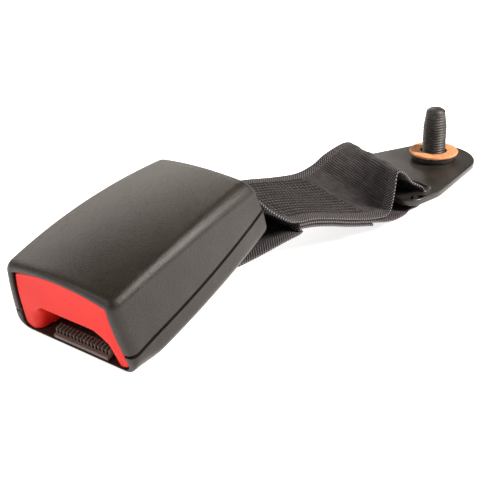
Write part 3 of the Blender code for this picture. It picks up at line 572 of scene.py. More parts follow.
# %% Lap behind the groove
LAP_HALF_HEIGHT = 1.6 * MM
LAP_DEPTH = 1.15 * MM
LAP_INNER = WALL - 0.05 * MM
LAP_FRONT, LAP_REAR, LAP_STATIONS = 2.0 * MM, 1.0 * MM, 24


def cover_lap():
    """A band that follows the parting line behind the wall, on both sides."""
    bm = bmesh.new()
    for side in (-1, 1):
        rows = []
        for i in range(LAP_STATIONS + 1):
            x = mix(LAP_FRONT, COVER_LENGTH - LAP_REAR, i / LAP_STATIONS)
            section = []
            for inset, lift in ((LAP_DEPTH, -1), (LAP_DEPTH, 1), (LAP_INNER, 1), (LAP_INNER, -1)):
                z = parting_height(x) + lift * LAP_HALF_HEIGHT
                section.append(wall_point(x, inset, z, side))
            rows.append(section)
        skin(bm, rows)
    return bm


def wall_point(x, inset, z, side):
    """Point of the outer skin at a height, moved inwards."""
    ring = [p for p in form_ring(x) if p.y > 10 * MM]
    low = max((p for p in ring if p.z <= z), key=lambda p: p.z)
    high = min((p for p in ring if p.z > z), key=lambda p: p.z)
    point = low.lerp(high, (z - low.z) / (high.z - low.z))
    return Vector((point.x, side * (point.y - inset), z))


place_piece("cover_joint_lap", cover_lap(), BUCKLE, "housing", cover_finish)

# %% [markdown]
# ## Red press button
#
# The button fills the mouth and is cut by a funnel that leads the belt's tongue in. The funnel's
# roof has a crisp lip, and its sides are scooped with a large radius. The section is one ring, the
# outer contour plus the arch, and the front edges come from rings that open along a quarter circle.

# %% Press button
BUTTON_GAP, BUTTON_FOOT = 0.7 * MM, 1.1 * MM
FOOT_HEIGHT = 3.0 * MM
BUTTON_FRONT, BUTTON_DEPTH = 0.5 * MM, 11.5 * MM
ARCH_FLOOR, ARCH_TOP_HALF, ARCH_TOP = 17.6 * MM, 13.4 * MM, 13.8 * MM
THROAT_HALF, THROAT_TOP, THROAT_X = 14.5 * MM, 12.6 * MM, 15.5 * MM
ARCH_CORNER, THROAT_CORNER = 3.6 * MM, 2.0 * MM
EDGE_RADIUS, LIP_FILLET, SCOOP = 0.6 * MM, 0.6 * MM, 4.5 * MM


def arch_points(x):
    """Half of the funnel's contour, from the leg's foot to the middle of the roof, as (y, z)."""
    t = x / THROAT_X
    floor, half = mix(ARCH_FLOOR, THROAT_HALF, t), mix(ARCH_TOP_HALF, THROAT_HALF, t)
    top, corner = mix(ARCH_TOP, THROAT_TOP, t), mix(ARCH_CORNER, THROAT_CORNER, t)
    bend = arc((half - corner / 2, top - corner), corner, 15, 90, 9)
    foot = (floor, BUTTON_FOOT)
    return [foot] + run(foot, bend[0], 8) + bend + run(bend[-1], (0.0, top), 6) + [(0.0, top)]


def face_place(outer, height):
    """X of a ring's side at a height, so that the arch leans with the mouth."""
    side_points = outer[:len(outer) // 2]
    return min(side_points, key=lambda point: abs(point.z - height)).x


def button_ring(x, turn=None):
    """Ring of the button's section. turn is the angle on the rounded front edges."""
    section = form_ring(x, RIM_SIDE + BUTTON_GAP, RIM_ROOF + BUTTON_GAP, BUTTON_FOOT)
    outer = section[FLOOR_STEPS + 1:len(section) - FLOOR_STEPS]
    half = arch_points(x)
    whole = half + [(-y, z) for y, z in reversed(half[:-1])]
    arch = [Vector((face_place(outer, z), y, z)) for y, z in whole]
    ring = outer + list(reversed(arch))
    if turn is None:
        return ring
    moved = []
    count = len(ring)
    for i, point in enumerate(ring):
        before, after = ring[i - 1], ring[(i + 1) % count]
        flat = Vector((0.0, after.y - before.y, after.z - before.z)).normalized()
        inward = Vector((0.0, -flat.z, flat.y))
        if i < len(outer):
            radius = EDGE_RADIUS
        else:
            deep = 1 - smooth_step(ARCH_TOP - 5.5 * MM, ARCH_TOP - 0.4 * MM, point.z)
            radius = mix(LIP_FILLET, SCOOP, deep)
            if point.z < FOOT_HEIGHT:
                inward = Vector((0.0, math.copysign(1.0, point.y), 0.0))
        shift = radius * (1 - math.cos(turn))
        depth = radius * (1 - math.sin(turn))
        moved.append(point + inward * shift + Vector((depth, 0.0, 0.0)))
    return moved


rings = [button_ring(mix(BUTTON_DEPTH, 5.4 * MM, i / 4)) for i in range(5)]
rings += [button_ring(BUTTON_FRONT, math.radians(angle)) for angle in (0, 15, 30, 45, 60, 75, 90)]
button = loft(rings)
front = max(button.faces, key=lambda face: -face.calc_center_median().x if len(face.verts) > 8 else -1.0)
bmesh.ops.inset_region(button, faces=[front], thickness=0.25 * MM, use_even_offset=True)
place_piece("button_face", button, BUCKLE, "button", red_finish, ("press_button",), 50)

# %% [markdown]
# ## Arms of the button
#
# Two arms reach back inside the covers and carry the lock bar in a round hole. A ring round the
# arm's outline and a ring round the hole are joined to a closed band, which is the arm.

# %% Arms with the lock bar's holes
ARM_X, ARM_Y, ARM_Z = (9.6 * MM, 38.4 * MM), (18.7 * MM, 20.9 * MM), (12.5 * MM, 20.6 * MM)
LOCK_BAR = Vector((34.0, 0.0, 17.6)) * MM
LOCK_HOLE = 2.3 * MM


def arm_outline(angle):
    """Point of the arm's outline in a direction from the hole's middle."""
    dx, dz = math.cos(angle), math.sin(angle)
    reach = [(limit - LOCK_BAR.x) / dx for limit in ARM_X if abs(dx) > 1e-6]
    reach += [(limit - LOCK_BAR.z) / dz for limit in ARM_Z if abs(dz) > 1e-6]
    far = min(value for value in reach if value > 0)
    return LOCK_BAR.x + far * dx, LOCK_BAR.z + far * dz


def button_arms():
    bm = bmesh.new()
    corners = [math.atan2(z - LOCK_BAR.z, x - LOCK_BAR.x) for x in ARM_X for z in ARM_Z]
    angles = sorted(set([2 * math.pi * i / 32 - math.pi + 0.01 for i in range(32)] + corners))
    outline = [arm_outline(angle) for angle in angles]
    hole = [(LOCK_BAR.x + LOCK_HOLE * math.cos(a), LOCK_BAR.z + LOCK_HOLE * math.sin(a)) for a in angles]
    for side in (-1, 1):
        near, far = side * ARM_Y[0], side * ARM_Y[1]
        rings = [[Vector((x, y, z)) for x, z in shape] for y, shape in
                 ((near, outline), (far, outline), (far, hole), (near, hole))]
        skin(bm, rings, closed=True)
    return bm


arms = place_piece("button_arms", button_arms(), BUCKLE, "button", red_finish, ("press_button",))
add_bevel(arms, 0.3 * MM, 2)

# %% [markdown]
# ## Comb under the tongue
#
# A grey comb lies in the mouth and keeps the tongue off the cover. It has a plain bar in front and
# fifteen slots behind it. Blocks with softly bevelled edges make it up, and each rib leans back.

# %% Comb
COMB_HALF, COMB_MIDDLE, COMB_FRONT, COMB_BOTTOM = 13.0 * MM, -2.0 * MM, -1.8 * MM, 1.0 * MM
COMB_BAR = (1.5 * MM, 1.5 * MM)
COMB_LENGTH, COMB_HEIGHT, COMB_BACK = 5.2 * MM, 3.1 * MM, 1.4 * MM
COMB_SLOTS = 15
RIB_WIDTH = 0.5 * MM
COMB_BACK_HEIGHT, COMB_FLOOR, COMB_OVERLAP = 1.9 * MM, 0.7 * MM, 0.3 * MM
RIB_BOTTOM, RIB_SETBACK, RIB_LEAN, RIB_LEAN_FROM = 0.4 * MM, 0.5 * MM, 0.5 * MM, 2.0 * MM


def add_block(bm, low, high):
    low, high = Vector(low), Vector(high)
    place = Matrix.Translation((low + high) / 2) @ Matrix.Diagonal((*(high - low), 1.0))
    return bmesh.ops.create_cube(bm, size=1.0, matrix=place)["verts"]


def comb():
    bm = bmesh.new()
    rear = COMB_FRONT + COMB_LENGTH
    bar_rear = COMB_FRONT + COMB_BAR[0]
    blocks = ((COMB_FRONT, bar_rear, COMB_BAR[1]), (bar_rear - COMB_OVERLAP, rear, COMB_FLOOR),
              (rear - COMB_BACK, rear, COMB_BACK_HEIGHT))
    for start, end, height in blocks:
        add_block(bm, (start, -COMB_HALF, COMB_BOTTOM), (end, COMB_HALF, COMB_BOTTOM + height))
    pitch = (2 * COMB_HALF - RIB_WIDTH) / COMB_SLOTS
    for i in range(COMB_SLOTS + 1):
        y = -COMB_HALF + i * pitch
        low = (bar_rear - COMB_OVERLAP, y, COMB_BOTTOM + RIB_BOTTOM)
        rib = add_block(bm, low, (rear - RIB_SETBACK, y + RIB_WIDTH, COMB_BOTTOM + COMB_HEIGHT))
        for vertex in rib:
            if vertex.co.z > COMB_BOTTOM + RIB_LEAN_FROM and vertex.co.x < bar_rear:
                vertex.co.x += RIB_LEAN
    bmesh.ops.translate(bm, verts=bm.verts, vec=(0.0, COMB_MIDDLE, 0.0))
    return bm


piece = place_piece("comb", comb(), BUCKLE, "housing", comb_finish, ("tongue_guide",))
add_bevel(piece, 0.15 * MM, 2)

# %% [markdown]
# ## Metal finishes
#
# The parts inside are bright zinc on pressed steel, ground steel and drawn wire. Plate and bolt are
# dark: the plate has a smooth semi-gloss coat, the bolt a matt phosphate. A slow noise changes the
# tone and the gloss a little from place to place, as real coats do.


# %% Metals
def metal(name, colour, light, roughness, scale, metallic=1.0, depth=0.004 * MM):
    """Coated or bare metal: patches of two tones, with gloss that follows them."""
    made = Finish(name, colour, roughness, metallic)
    patches = made.noise(scale, 4.0, 0.6)
    fine = made.noise(scale * 9, 2.0)
    made.feed("Base Color", made.blend(patches.ramp(0.3, 0.7), colour, light))
    made.feed("Roughness", (patches * 0.6 + fine * 0.4).ramp(0.25, 0.75, roughness - 0.08, roughness + 0.1))
    made.bump(fine, depth)
    return made


zinc = metal("zinc_on_steel", (0.5, 0.48, 0.44), (0.66, 0.64, 0.58), 0.32, 260.0)
ground_steel = metal("ground_steel", (0.4, 0.39, 0.37), (0.5, 0.49, 0.47), 0.28, 340.0)
wire_steel = metal("drawn_wire", (0.45, 0.45, 0.45), (0.58, 0.58, 0.58), 0.25, 500.0)
acetal = plastic("natural_acetal", (0.55, 0.53, 0.47), (0.62, 0.6, 0.54), 0.42, 0.5 * MM, 0.01 * MM)
plate_coat = metal("plate_coat", (0.024, 0.0215, 0.019), (0.04, 0.035, 0.03), 0.34, 120.0, 0.25, 0.02 * MM)
phosphate = metal("phosphate", (0.028, 0.025, 0.023), (0.055, 0.05, 0.045), 0.48, 420.0, 0.35, 0.02 * MM)

INSIDE = {
    "buckle_frame": zinc, "latch_pin": ground_steel, "latch_plate": ground_steel,
    "lock_bar": ground_steel, "latch_spring": wire_steel, "ejector_spring": wire_steel,
    "button_spring_left": wire_steel, "button_spring_right": wire_steel, "ejector": acetal,
    "wave_washer": wire_steel}
for name, finish in INSIDE.items():
    bpy.data.objects[name].material_slots[0].material = finish.material
print("inner parts finished:", len(INSIDE))

# %% [markdown]
# ## The strap's path
#
# One band of webbing, 47 mm wide, makes the whole strap. It starts in the stitched stack, goes
# forward under the buckle, round the bar of the steel frame, back on top, over the hump and through
# the plate's slot, and ends in the middle of the stack. Rows of near and far points give its path,
# and a smooth curve through them is measured off in even steps.

# %% Path of the webbing
WEB_WIDTH, WEB_THICKNESS, WEB_LAYER = 47.0, 1.2, 1.5
UPPER_RUN = (
    ((86.0, -23.6, 24.4), (87.5, 23.2, 28.0)), ((92.4, -24.2, 22.0), (94.5, 22.7, 25.6)),
    ((101.5, -25.0, 20.4), (104.5, 21.8, 23.6)), ((112.5, -26.1, 17.2), (117.0, 20.4, 21.4)),
    ((124.0, -27.5, 13.4), (130.0, 18.6, 18.8)), ((138.5, -29.7, 9.4), (145.0, 16.3, 16.8)))
HUMP = (
    ((147.6, -31.3, 8.8), (155.5, 14.5, 18.4)), ((149.8, -31.8, 13.4), (162.0, 13.2, 21.4)),
    ((150.8, -32.0, 20.2), (170.0, 12.0, 23.4)), ((152.0, -32.1, 26.6), (176.8, 11.2, 24.0)),
    ((157.0, -32.6, 25.0), (181.8, 11.0, 22.4)), ((163.6, -33.0, 19.0), (184.0, 11.4, 18.6)))
LOWER_RUN = (((94.2, -24.4, 17.0), (96.6, 22.6, 20.0)), ((83.0, -23.8, 16.6), (84.4, 22.9, 18.6)))
RETURN_RUN = (((158.0, -33.2, 5.6), (165.6, 12.8, 6.2)), ((150.0, -31.7, 5.2), (156.6, 14.2, 9.6)))
IN_BUCKLE = (
    (69.0, -7.1, 23.2), (59.0, -3.9, 22.0), (54.2, -1.3, 19.2), (54.8, 4.1, 18.2),
    (54.8, 6.3, 18.2), (57.2, 8.8, 18.2), (63.0, 9.4, 18.2), (69.5, 12.3, 19.0),
    (75.8, 14.9, 19.8), (80.4, 11.5, 20.7), (84.4, 4.1, 22.6))
ROUND_BAR = ((8.55, 2.5), (8.55, -2.5), (5.55, -4.6), (0.0, -4.9))


def layout_rows(pairs, drop=0.0):
    fall = Vector((0.0, 0.0, drop * MM))
    return [[LAYOUT + Vector(near) * MM - fall, LAYOUT + Vector(far) * MM - fall] for near, far in pairs]


def cross_rows(matrix, spots):
    return [[matrix @ (Vector((x, side * half, z)) * MM) for side in (-1, 1)] for x, z, half in spots]


stack = list(reversed(UPPER_RUN[1:]))
path = layout_rows(stack, 2 * WEB_LAYER) + layout_rows(LOWER_RUN) + cross_rows(BUCKLE, IN_BUCKLE)
panel_start = len(path)
path += layout_rows(UPPER_RUN)
panel_end = len(path) - 1
path += layout_rows(HUMP)
hump_end = len(path) - 1
path += cross_rows(PLATE, [(x, z, WEB_WIDTH / 2) for x, z in ROUND_BAR])
path += layout_rows(RETURN_RUN) + layout_rows(stack, WEB_LAYER)


def smooth_row(rows, spot):
    """Row at a place between the given rows, on a smooth curve through them."""
    i = min(int(spot), len(rows) - 2)
    t = spot - i
    last = len(rows) - 1
    keys = [rows[max(i - 1, 0)], rows[i], rows[i + 1], rows[min(i + 2, last)]]
    weights = (-0.5 * t + t * t - 0.5 * t ** 3, 1 - 2.5 * t * t + 1.5 * t ** 3,
               0.5 * t + 2 * t * t - 1.5 * t ** 3, -0.5 * t * t + 0.5 * t ** 3)
    return [sum((w * key[k] for w, key in zip(weights, keys)), Vector()) for k in (0, 1)]


def middle(row):
    return (row[0] + row[1]) / 2


DENSE = 24
spots = [i / DENSE for i in range((len(path) - 1) * DENSE + 1)]
dense_rows = [smooth_row(path, spot) for spot in spots]
lengths = [0.0]
for first, second in zip(dense_rows, dense_rows[1:]):
    lengths.append(lengths[-1] + (middle(second) - middle(first)).length / MM)
web_length = lengths[-1]
panel_from, panel_to = lengths[(panel_start - 1) * DENSE], lengths[panel_end * DENSE]
hump_to = lengths[hump_end * DENSE]


def row_at(length):
    """Row of the band at a distance from its start, in millimetres."""
    low = min(max(bisect.bisect_right(lengths, length) - 1, 0), len(lengths) - 2)
    t = (length - lengths[low]) / (lengths[low + 1] - lengths[low])
    return [a.lerp(b, t) for a, b in zip(dense_rows[low], dense_rows[low + 1])]


FINE_STEP, COARSE_STEP = 0.45, 1.3
FINE_BEFORE, FINE_AFTER = 4.0, 14.0
marks = [0.0]
while marks[-1] < web_length:
    fine = panel_from - FINE_BEFORE < marks[-1] < hump_to + FINE_AFTER
    marks.append(min(marks[-1] + (FINE_STEP if fine else COARSE_STEP), web_length))
web_rows = [row_at(mark) for mark in marks]
print("webbing", round(web_length, 1), "mm long in", len(marks), "rows")
print("stitched panel from", round(panel_from), "to", round(panel_to), "mm")

# %% [markdown]
# ## The stitched panel and the folds
#
# Behind the buckle three layers are sewn together by rows of stitches, which pinch the cloth into
# a brick pattern. On the hump the cloth has a few soft folds. Both are heights above the plain
# band: a function of the distance across and along it.

# %% Heights on the band
SELVEDGE = 5.0
COLUMNS = 14
COLUMN = (WEB_WIDTH - 2 * SELVEDGE) / COLUMNS
STITCH = 1.95
PINCH_DEPTH = 0.55
FOLD_WIDTH, FOLD_HEIGHT, FOLD_START = 13.5, 0.3, 0.6
RIPPLE_WIDTH, RIPPLE_HEIGHT, RIPPLE_LENGTH = 7.1, 0.12, 11.0
DRIFT, DRIFT_LENGTH = 1.2, 9.0
NEAR_FADE, FAR_FADE = 6.0, 16.0


def panel_fade(u, v):
    """1 inside the stitched panel, 0 outside it."""
    along = smooth_step(panel_from - 5, panel_from - 2, v) * (1 - smooth_step(panel_to - 2.5, panel_to, v))
    return along * smooth_step(SELVEDGE - 0.6, SELVEDGE + 0.4, min(u, WEB_WIDTH - u))


def pinch(u, v):
    """How deep the stitches pull the cloth in, from 0 to 1."""
    column = (u - SELVEDGE) / COLUMN
    k = math.floor(column)
    across = abs(column - k - 0.5) * 2
    along = v / STITCH + 0.5 * (k % 2)
    along = abs(along - math.floor(along) - 0.5) * 2
    return smooth_step(0.95, 0.55, across) * smooth_step(0.75, 0.2, along) * panel_fade(u, v)


def fold(u, v):
    """Soft folds of the whole band on the hump."""
    crest = smooth_step(panel_to - 2, panel_to + 12, v) * (1 - smooth_step(hump_to - 2, hump_to + 8, v))
    drift = DRIFT * math.sin(v / DRIFT_LENGTH)
    waves = FOLD_HEIGHT * math.sin((u + drift) * 2 * math.pi / FOLD_WIDTH + FOLD_START)
    waves += RIPPLE_HEIGHT * math.sin(u * 2 * math.pi / RIPPLE_WIDTH + v / RIPPLE_LENGTH)
    edge = smooth_step(0.0, NEAR_FADE, u) * smooth_step(0.0, FAR_FADE, WEB_WIDTH - u)
    return crest * edge * waves


# %% Webbing as a closed band
TOP_COLUMNS, LOW_COLUMNS, EDGE_COLUMNS = 74, 22, 4


def band_section():
    """Round the band's section: distance across and height, each point once, first point again last."""
    radius = WEB_THICKNESS / 2
    inner = WEB_WIDTH / 2 - radius
    right = arc((inner, 0.0), radius, 90, -90, EDGE_COLUMNS)
    left = arc((-inner, 0.0), radius, 270, 90, EDGE_COLUMNS)
    top = run(left[-1], right[0], TOP_COLUMNS)
    low = run(right[-1], left[0], LOW_COLUMNS)
    return [left[-1]] + top + right + low + left


def web_point(u, height, row, ahead):
    """Point of a row at a distance across, and at a height above the band's middle surface."""
    k = u / WEB_WIDTH
    spot = row[0].lerp(row[1], k)
    along = ahead[0].lerp(ahead[1], k) - spot
    normal = along.cross(row[1] - row[0]).normalized()
    return spot + normal * height * MM


def make_webbing(finish):
    section = band_section()
    last = len(web_rows) - 1
    bm = bmesh.new()
    bmesh.ops.create_grid(bm, x_segments=len(section) - 1, y_segments=last, size=0.5)
    weave = bm.loops.layers.uv.new("weave")
    pinched = bm.verts.layers.float.new("pinched")
    places = {}
    for vertex in bm.verts:
        column = round((vertex.co.x + 0.5) * (len(section) - 1))
        i = round((vertex.co.y + 0.5) * last)
        across, height = section[column]
        u, v = across + WEB_WIDTH / 2, marks[i]
        places[vertex] = (u, v)
        if height > WEB_THICKNESS / 4:
            # The pinch depth is also kept on the vertex, and the cloth's shader turns it into painted shade
            # in the dimples.
            vertex[pinched] = pinch(u, v)
            height -= PINCH_DEPTH * vertex[pinched]
        before, after = web_rows[max(i - 1, 0)], web_rows[min(i + 1, last)]
        row = web_rows[i]
        ahead = [row[k] + after[k] - before[k] for k in (0, 1)]
        vertex.co = web_point(u, height + fold(u, v), row, ahead)
    for face in bm.faces:
        for loop in face.loops:
            loop[weave].uv = places[loop.vert]
    bmesh.ops.remove_doubles(bm, verts=bm.verts, dist=0.002 * MM)
    bmesh.ops.holes_fill(bm, edges=[edge for edge in bm.edges if edge.is_boundary], sides=0)
    bmesh.ops.recalc_face_normals(bm, faces=bm.faces)
    return place_piece("strap", bm, Matrix.Identity(4), "housing", finish, ("webbing",), 70)


# %% [markdown]
# ## Woven finish
#
# Belt webbing is a heavy polyester weave. Its ribs run across the band about a millimetre apart,
# and both edges carry a strip of twill, which shows as rows of bright dots. The pattern reads the
# band's own map in millimetres, so it follows every bend.

# %% Woven polyester
RIB_PITCH, YARN_PITCH, DOT_PITCH = 1.0, 0.62, 1.25
TWILL_FROM = WEB_WIDTH / 2 - SELVEDGE

cloth = Finish("woven_polyester", (0.03, 0.025, 0.026), 0.72, Specular_IOR_Level=0.35)
weave_map = cloth.node("ShaderNodeUVMap", {"uv_map": "weave"})
split = cloth.node("ShaderNodeSeparateXYZ", {}, [weave_map])
across = split
along = Value(cloth, split.socket.node.outputs[1])
patchy = cloth.noise(0.35, 3.0, 0.6, cloth.node("ShaderNodeVectorMath", {"operation": "MULTIPLY"},
                                                [weave_map, (0.5, 1.6, 1.0)]))
bent = along + patchy * 0.5
ribs = bent.wave(RIB_PITCH)
yarns = (across + patchy * 0.2).wave(YARN_PITCH)
edge_mask = (across - WEB_WIDTH / 2).math("ABSOLUTE").ramp(TWILL_FROM - 0.3, TWILL_FROM + 0.3)
dots = (across + along).wave(DOT_PITCH) * (across - along).wave(DOT_PITCH)
pinch_painted_shade = cloth.node("ShaderNodeAttribute", {"attribute_name": "pinched"}, output=2)
body = ribs * (yarns * 0.35 + 0.65)
height = body * (1 - edge_mask) + dots * edge_mask
# Painted highlight: the raised tops of the ribs and yarns get a lighter colour, by their height.
glint = (height * patchy.ramp(0.2, 0.8, 0.55, 1.25)).power(1.6)
tone = cloth.blend(glint.ramp(0.05, 1.0), (0.014, 0.0115, 0.012), (0.105, 0.088, 0.09))
# Painted shade: the cloth is darkened to near black where the stitches pinch it into dimples.
tone = cloth.blend(pinch_painted_shade.ramp(0.05, 0.4), tone, (0.004, 0.0035, 0.0035))
tone = cloth.blend(dots.ramp(0.5, 0.9) * edge_mask, tone, (0.34, 0.295, 0.3))
cloth.feed("Base Color", tone)
cloth.bump(height, 0.22 * MM)

strap = make_webbing(cloth)
print("strap has", len(strap.data.vertices), "vertices")

# %% [markdown]
# ## Stitches
#
# Each stitch is a short length of thread that lies on the cloth between two needle holes. The
# stitches are small capsules with few faces, because there are hundreds of them.

# %% Stitches
THREAD, STITCH_LENGTH, STITCH_RISE = 0.24, 1.35, 0.05
SEAM_BEFORE, SEAM_SHORT, LOOK_AHEAD = 3.0, 2.6, 0.4
thread_finish = plastic("polyester_thread", (0.035, 0.03, 0.031), (0.13, 0.11, 0.112), 0.6,
                        0.25 * MM, 0.02 * MM)


def add_stitch(bm, start, end, up_way, radius):
    """A capsule from start to end: a small sphere drawn out, flattened against the cloth."""
    along_way = (end - start).normalized()
    side_way = up_way.cross(along_way).normalized()
    turned = Matrix((side_way, along_way, side_way.cross(along_way))).transposed().to_4x4()
    stretch = Matrix.Diagonal((1.0, (end - start).length / (2 * radius), 0.8, 1.0))
    place = Matrix.Translation((start + end) / 2) @ turned @ stretch
    bmesh.ops.create_uvsphere(bm, u_segments=6, v_segments=5, radius=radius, matrix=place)


def make_stitches():
    bm = bmesh.new()
    for column in range(COLUMNS + 1):
        u = SELVEDGE + column * COLUMN
        v = panel_from - SEAM_BEFORE
        while v < panel_to - SEAM_SHORT:
            row, ahead = row_at(v), row_at(v + LOOK_AHEAD)
            start = web_point(u, 0.0, row, ahead)
            v_end = v + STITCH_LENGTH
            end = web_point(u, 0.0, row_at(v_end), row_at(v_end + LOOK_AHEAD))
            normal = (ahead[0] - row[0]).cross(row[1] - row[0]).normalized()
            lift = normal * (WEB_THICKNESS / 2 + STITCH_RISE) * MM
            add_stitch(bm, start + lift, end + lift, normal, THREAD * MM)
            v += STITCH
    bmesh.ops.recalc_face_normals(bm, faces=bm.faces)
    return bm


stitches = place_piece("stitches", make_stitches(), Matrix.Identity(4), "housing", thread_finish,
                       ("stitch_thread",))

# %% [markdown]
# ## Anchor plate
#
# The plate is pressed from 3 mm steel: a slotted end as wide as the strap, drawn in to a round end
# about the bolt. Its three outlines are filled as one flat face, given thickness and rounded.

# %% Anchor plate
PLATE_THICKNESS, PLATE_BAR, SLOT_WIDTH, SLOT_HALF = 3.0 * MM, 10.5 * MM, 9.0 * MM, 24.2 * MM
PLATE_HALF, PLATE_CORNER, END_RADIUS = 28.4 * MM, 7.0 * MM, 19.3 * MM
BOLT_X, BOLT_HOLE = 43.2 * MM, 6.2 * MM
PLATE_EDGE = 0.75 * MM


def plate_outline():
    back = -PLATE_BAR / 2
    shoulder = PLATE_BAR / 2 + SLOT_WIDTH + 1 * MM
    lean = math.degrees(math.atan2(PLATE_HALF - END_RADIUS, BOLT_X - shoulder))
    half = arc((back + PLATE_CORNER, PLATE_HALF - PLATE_CORNER), PLATE_CORNER, 180, 90, 12)
    half += [(shoulder - 4 * MM, PLATE_HALF), (shoulder - 2 * MM, PLATE_HALF - 0.1 * MM),
             (shoulder, PLATE_HALF - 0.4 * MM)]
    half += arc((BOLT_X, 0.0), END_RADIUS, 90 - lean, 0, 26)
    return half + [(x, -y) for x, y in reversed(half[:-1])]


def slot_outline():
    radius = SLOT_WIDTH / 2
    middle_x = PLATE_BAR / 2 + radius
    reach = SLOT_HALF - radius
    return arc((middle_x, reach), radius, 180, 0, 14) + arc((middle_x, -reach), radius, 0, -180, 14)


def anchor_plate():
    bm = bmesh.new()
    edges = []
    for outline in (plate_outline(), slot_outline(), arc((BOLT_X, 0.0), BOLT_HOLE, 0, 352.5, 47)):
        edges += add_ring(bm, [Vector((x, y, -PLATE_THICKNESS / 2)) for x, y in outline])
    bmesh.ops.triangle_fill(bm, edges=edges, use_beauty=True, use_dissolve=False)
    raised = bmesh.ops.extrude_face_region(bm, geom=bm.faces[:])
    top = [item for item in raised["geom"] if isinstance(item, bmesh.types.BMVert)]
    bmesh.ops.translate(bm, verts=top, vec=(0.0, 0.0, PLATE_THICKNESS))
    bmesh.ops.recalc_face_normals(bm, faces=bm.faces)
    return bm


piece = place_piece("plate", anchor_plate(), PLATE, "anchor", plate_coat, ("anchor_plate",))
add_bevel(piece, PLATE_EDGE, 4, 50)

# %% [markdown]
# ## Bolt with its thread
#
# The bolt stands up through the plate. Its thread is a fine one that fades on the tapered tip. Each
# ring round the shank is pushed in by a tooth shape whose place turns with the height, which winds
# the groove round the shank like a real thread.

# %% Bolt
THREAD_RADIUS, TIP_RADIUS, SHANK_RADIUS = 5.55 * MM, 4.2 * MM, 5.75 * MM
THREAD_PITCH, THREAD_DEPTH = 1.27 * MM, 0.55 * MM
SPACER_TOP, FIBRE_TOP = 2.6 * MM, 4.1 * MM
BOLT_TOP = FIBRE_TOP + 20.4 * MM
TAPER = 8.2 * MM
UNDER = -4.9 * MM
FLANGE = (10.5 * MM, 2.0 * MM)
HEAD_FLATS, HEAD_HEIGHT = 16.0 * MM, 6.4 * MM
ROUND, RINGS_A_TURN = 56, 9
THREAD_SUNK = 1.2 * MM
HEAD_OVERLAP = 0.5 * MM


def thread_ring(z):
    taper = smooth_step(BOLT_TOP - TAPER, BOLT_TOP - 0.5 * MM, z)
    outer = mix(THREAD_RADIUS, TIP_RADIUS + 0.1 * MM, (max(z - BOLT_TOP + TAPER, 0.0) / TAPER))
    depth = THREAD_DEPTH * mix(1.0, 0.35, taper) * smooth_step(FIBRE_TOP - THREAD_SUNK, FIBRE_TOP, z)
    points = []
    for i in range(ROUND):
        angle = 2 * math.pi * i / ROUND
        phase = z / THREAD_PITCH - i / ROUND
        tooth = abs((phase - math.floor(phase)) * 2 - 1)
        radius = outer - depth * min(tooth * 1.25, 1.0)
        points.append(Vector((radius * math.cos(angle), radius * math.sin(angle), z)))
    return points


def plain_ring(radius, z):
    angles = [2 * math.pi * i / ROUND for i in range(ROUND)]
    return [Vector((radius * math.cos(angle), radius * math.sin(angle), z)) for angle in angles]


def anchor_bolt():
    top = BOLT_TOP - 0.9 * MM
    steps = int((top - FIBRE_TOP + THREAD_SUNK) / (THREAD_PITCH / RINGS_A_TURN))
    flange_bottom = UNDER - FLANGE[1]
    below = ((FLANGE[0] - 1.2 * MM, flange_bottom), (FLANGE[0], flange_bottom + 0.7 * MM),
             (FLANGE[0], UNDER - 0.2 * MM), (FLANGE[0] - 0.25 * MM, UNDER),
             (SHANK_RADIUS, UNDER), (SHANK_RADIUS, FIBRE_TOP - 1.3 * MM))
    tip = ((TIP_RADIUS - 0.5 * MM, BOLT_TOP - 0.35 * MM), (TIP_RADIUS - 1.0 * MM, BOLT_TOP))
    rings = [plain_ring(radius, z) for radius, z in below]
    rings += [thread_ring(mix(FIBRE_TOP - THREAD_SUNK, top, i / steps)) for i in range(steps + 1)]
    rings += [plain_ring(radius, z) for radius, z in tip]
    bm = loft(rings)
    corner = HEAD_FLATS / math.cos(math.pi / 6) / 2
    head_place = Matrix.Translation((0.0, 0.0, flange_bottom - HEAD_HEIGHT / 2 + HEAD_OVERLAP / 2))
    bmesh.ops.create_cone(bm, cap_ends=True, segments=6, radius1=corner, radius2=corner,
                          depth=HEAD_HEIGHT + HEAD_OVERLAP, matrix=head_place)
    bmesh.ops.recalc_face_normals(bm, faces=bm.faces)
    return bm


place_piece("bolt_with_thread", anchor_bolt(), BOLT, "bolt", phosphate,
            ("anchor_bolt",), 40)

# %% [markdown]
# ## Spacer and fibre washer
#
# A black steel spacer lies on the plate. On it sits a washer of orange fibre, which is there to
# hold the bolt until it is fitted. On the real one the thread has torn the bore. The ring made here
# is whole, with a slightly rough rim.

# %% Washers
RING_BORE = 6.05 * MM
SPACER = (RING_BORE, 10.4 * MM, 0.3 * MM, SPACER_TOP)
FIBRE = (RING_BORE, 11.4 * MM, 2.9 * MM, FIBRE_TOP)
ROUGH_RIM, ROUGH_FACE = 0.16 * MM, 0.1 * MM


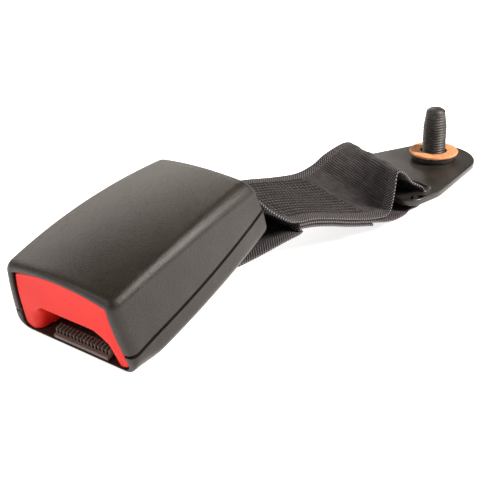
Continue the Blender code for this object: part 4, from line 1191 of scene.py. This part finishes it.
def turned_ring(profile, steps=64):
    """Turns a closed profile of (radius, height) about the bolt's axis."""
    bm = bmesh.new()
    spots = [bm.verts.new((radius, 0.0, z)) for radius, z in profile]
    edges = [bm.edges.new((a, b)) for a, b in zip(spots, spots[1:] + spots[:1])]
    bmesh.ops.spin(bm, geom=spots + edges, cent=(0.0, 0.0, 0.0), axis=(0.0, 0.0, 1.0), angle=2 * math.pi,
                   steps=steps, use_merge=True)
    bmesh.ops.remove_doubles(bm, verts=bm.verts, dist=0.001 * MM)
    bmesh.ops.recalc_face_normals(bm, faces=bm.faces)
    return bm


def soft_profile(inner, outer, low, high, edge):
    """A ring's section with rounded corners."""
    corners = (((outer - edge, high - edge), 90, 0), ((outer - edge, low + edge), 0, -90),
               ((inner + edge, low + edge), -90, -180), ((inner + edge, high - edge), 180, 90))
    return [spot for centre, start, end in corners for spot in arc(centre, edge, start, end, 3)]


place_piece("spacer", turned_ring(soft_profile(*SPACER, 0.35 * MM)), BOLT, "bolt", phosphate,
            ("spacer_ring",), 50)

fibre_finish = Finish("washer_fibre", (0.7, 0.3, 0.12), 0.75)
strands = fibre_finish.noise(520.0, 4.0, 0.7)
stains = fibre_finish.noise(160.0, 3.0, 0.6)
fibre_tone = fibre_finish.blend(strands.ramp(0.3, 0.7), (0.56, 0.2, 0.07), (0.8, 0.38, 0.17))
fibre_finish.feed("Base Color", fibre_finish.blend(stains.ramp(0.55, 0.8), fibre_tone, (0.3, 0.1, 0.045)))
fibre_finish.bump(strands, 0.12 * MM)


def fibre_washer():
    bm = turned_ring(soft_profile(*FIBRE, 0.4 * MM), 96)
    for vertex in bm.verts:
        radius = math.hypot(vertex.co.x, vertex.co.y)
        angle = math.atan2(vertex.co.y, vertex.co.x)
        rough = noise.noise(Vector((math.cos(angle) * 3, math.sin(angle) * 3, vertex.co.z / MM)))
        out = ROUGH_RIM * rough * smooth_step(FIBRE[1] - 1 * MM, FIBRE[1], radius)
        vertex.co.x *= 1 + out / radius
        vertex.co.y *= 1 + out / radius
        vertex.co.z += ROUGH_FACE * rough
    return bm


place_piece("fibre_ring", fibre_washer(), BOLT, "bolt", fibre_finish, ("fibre_washer",), 50)
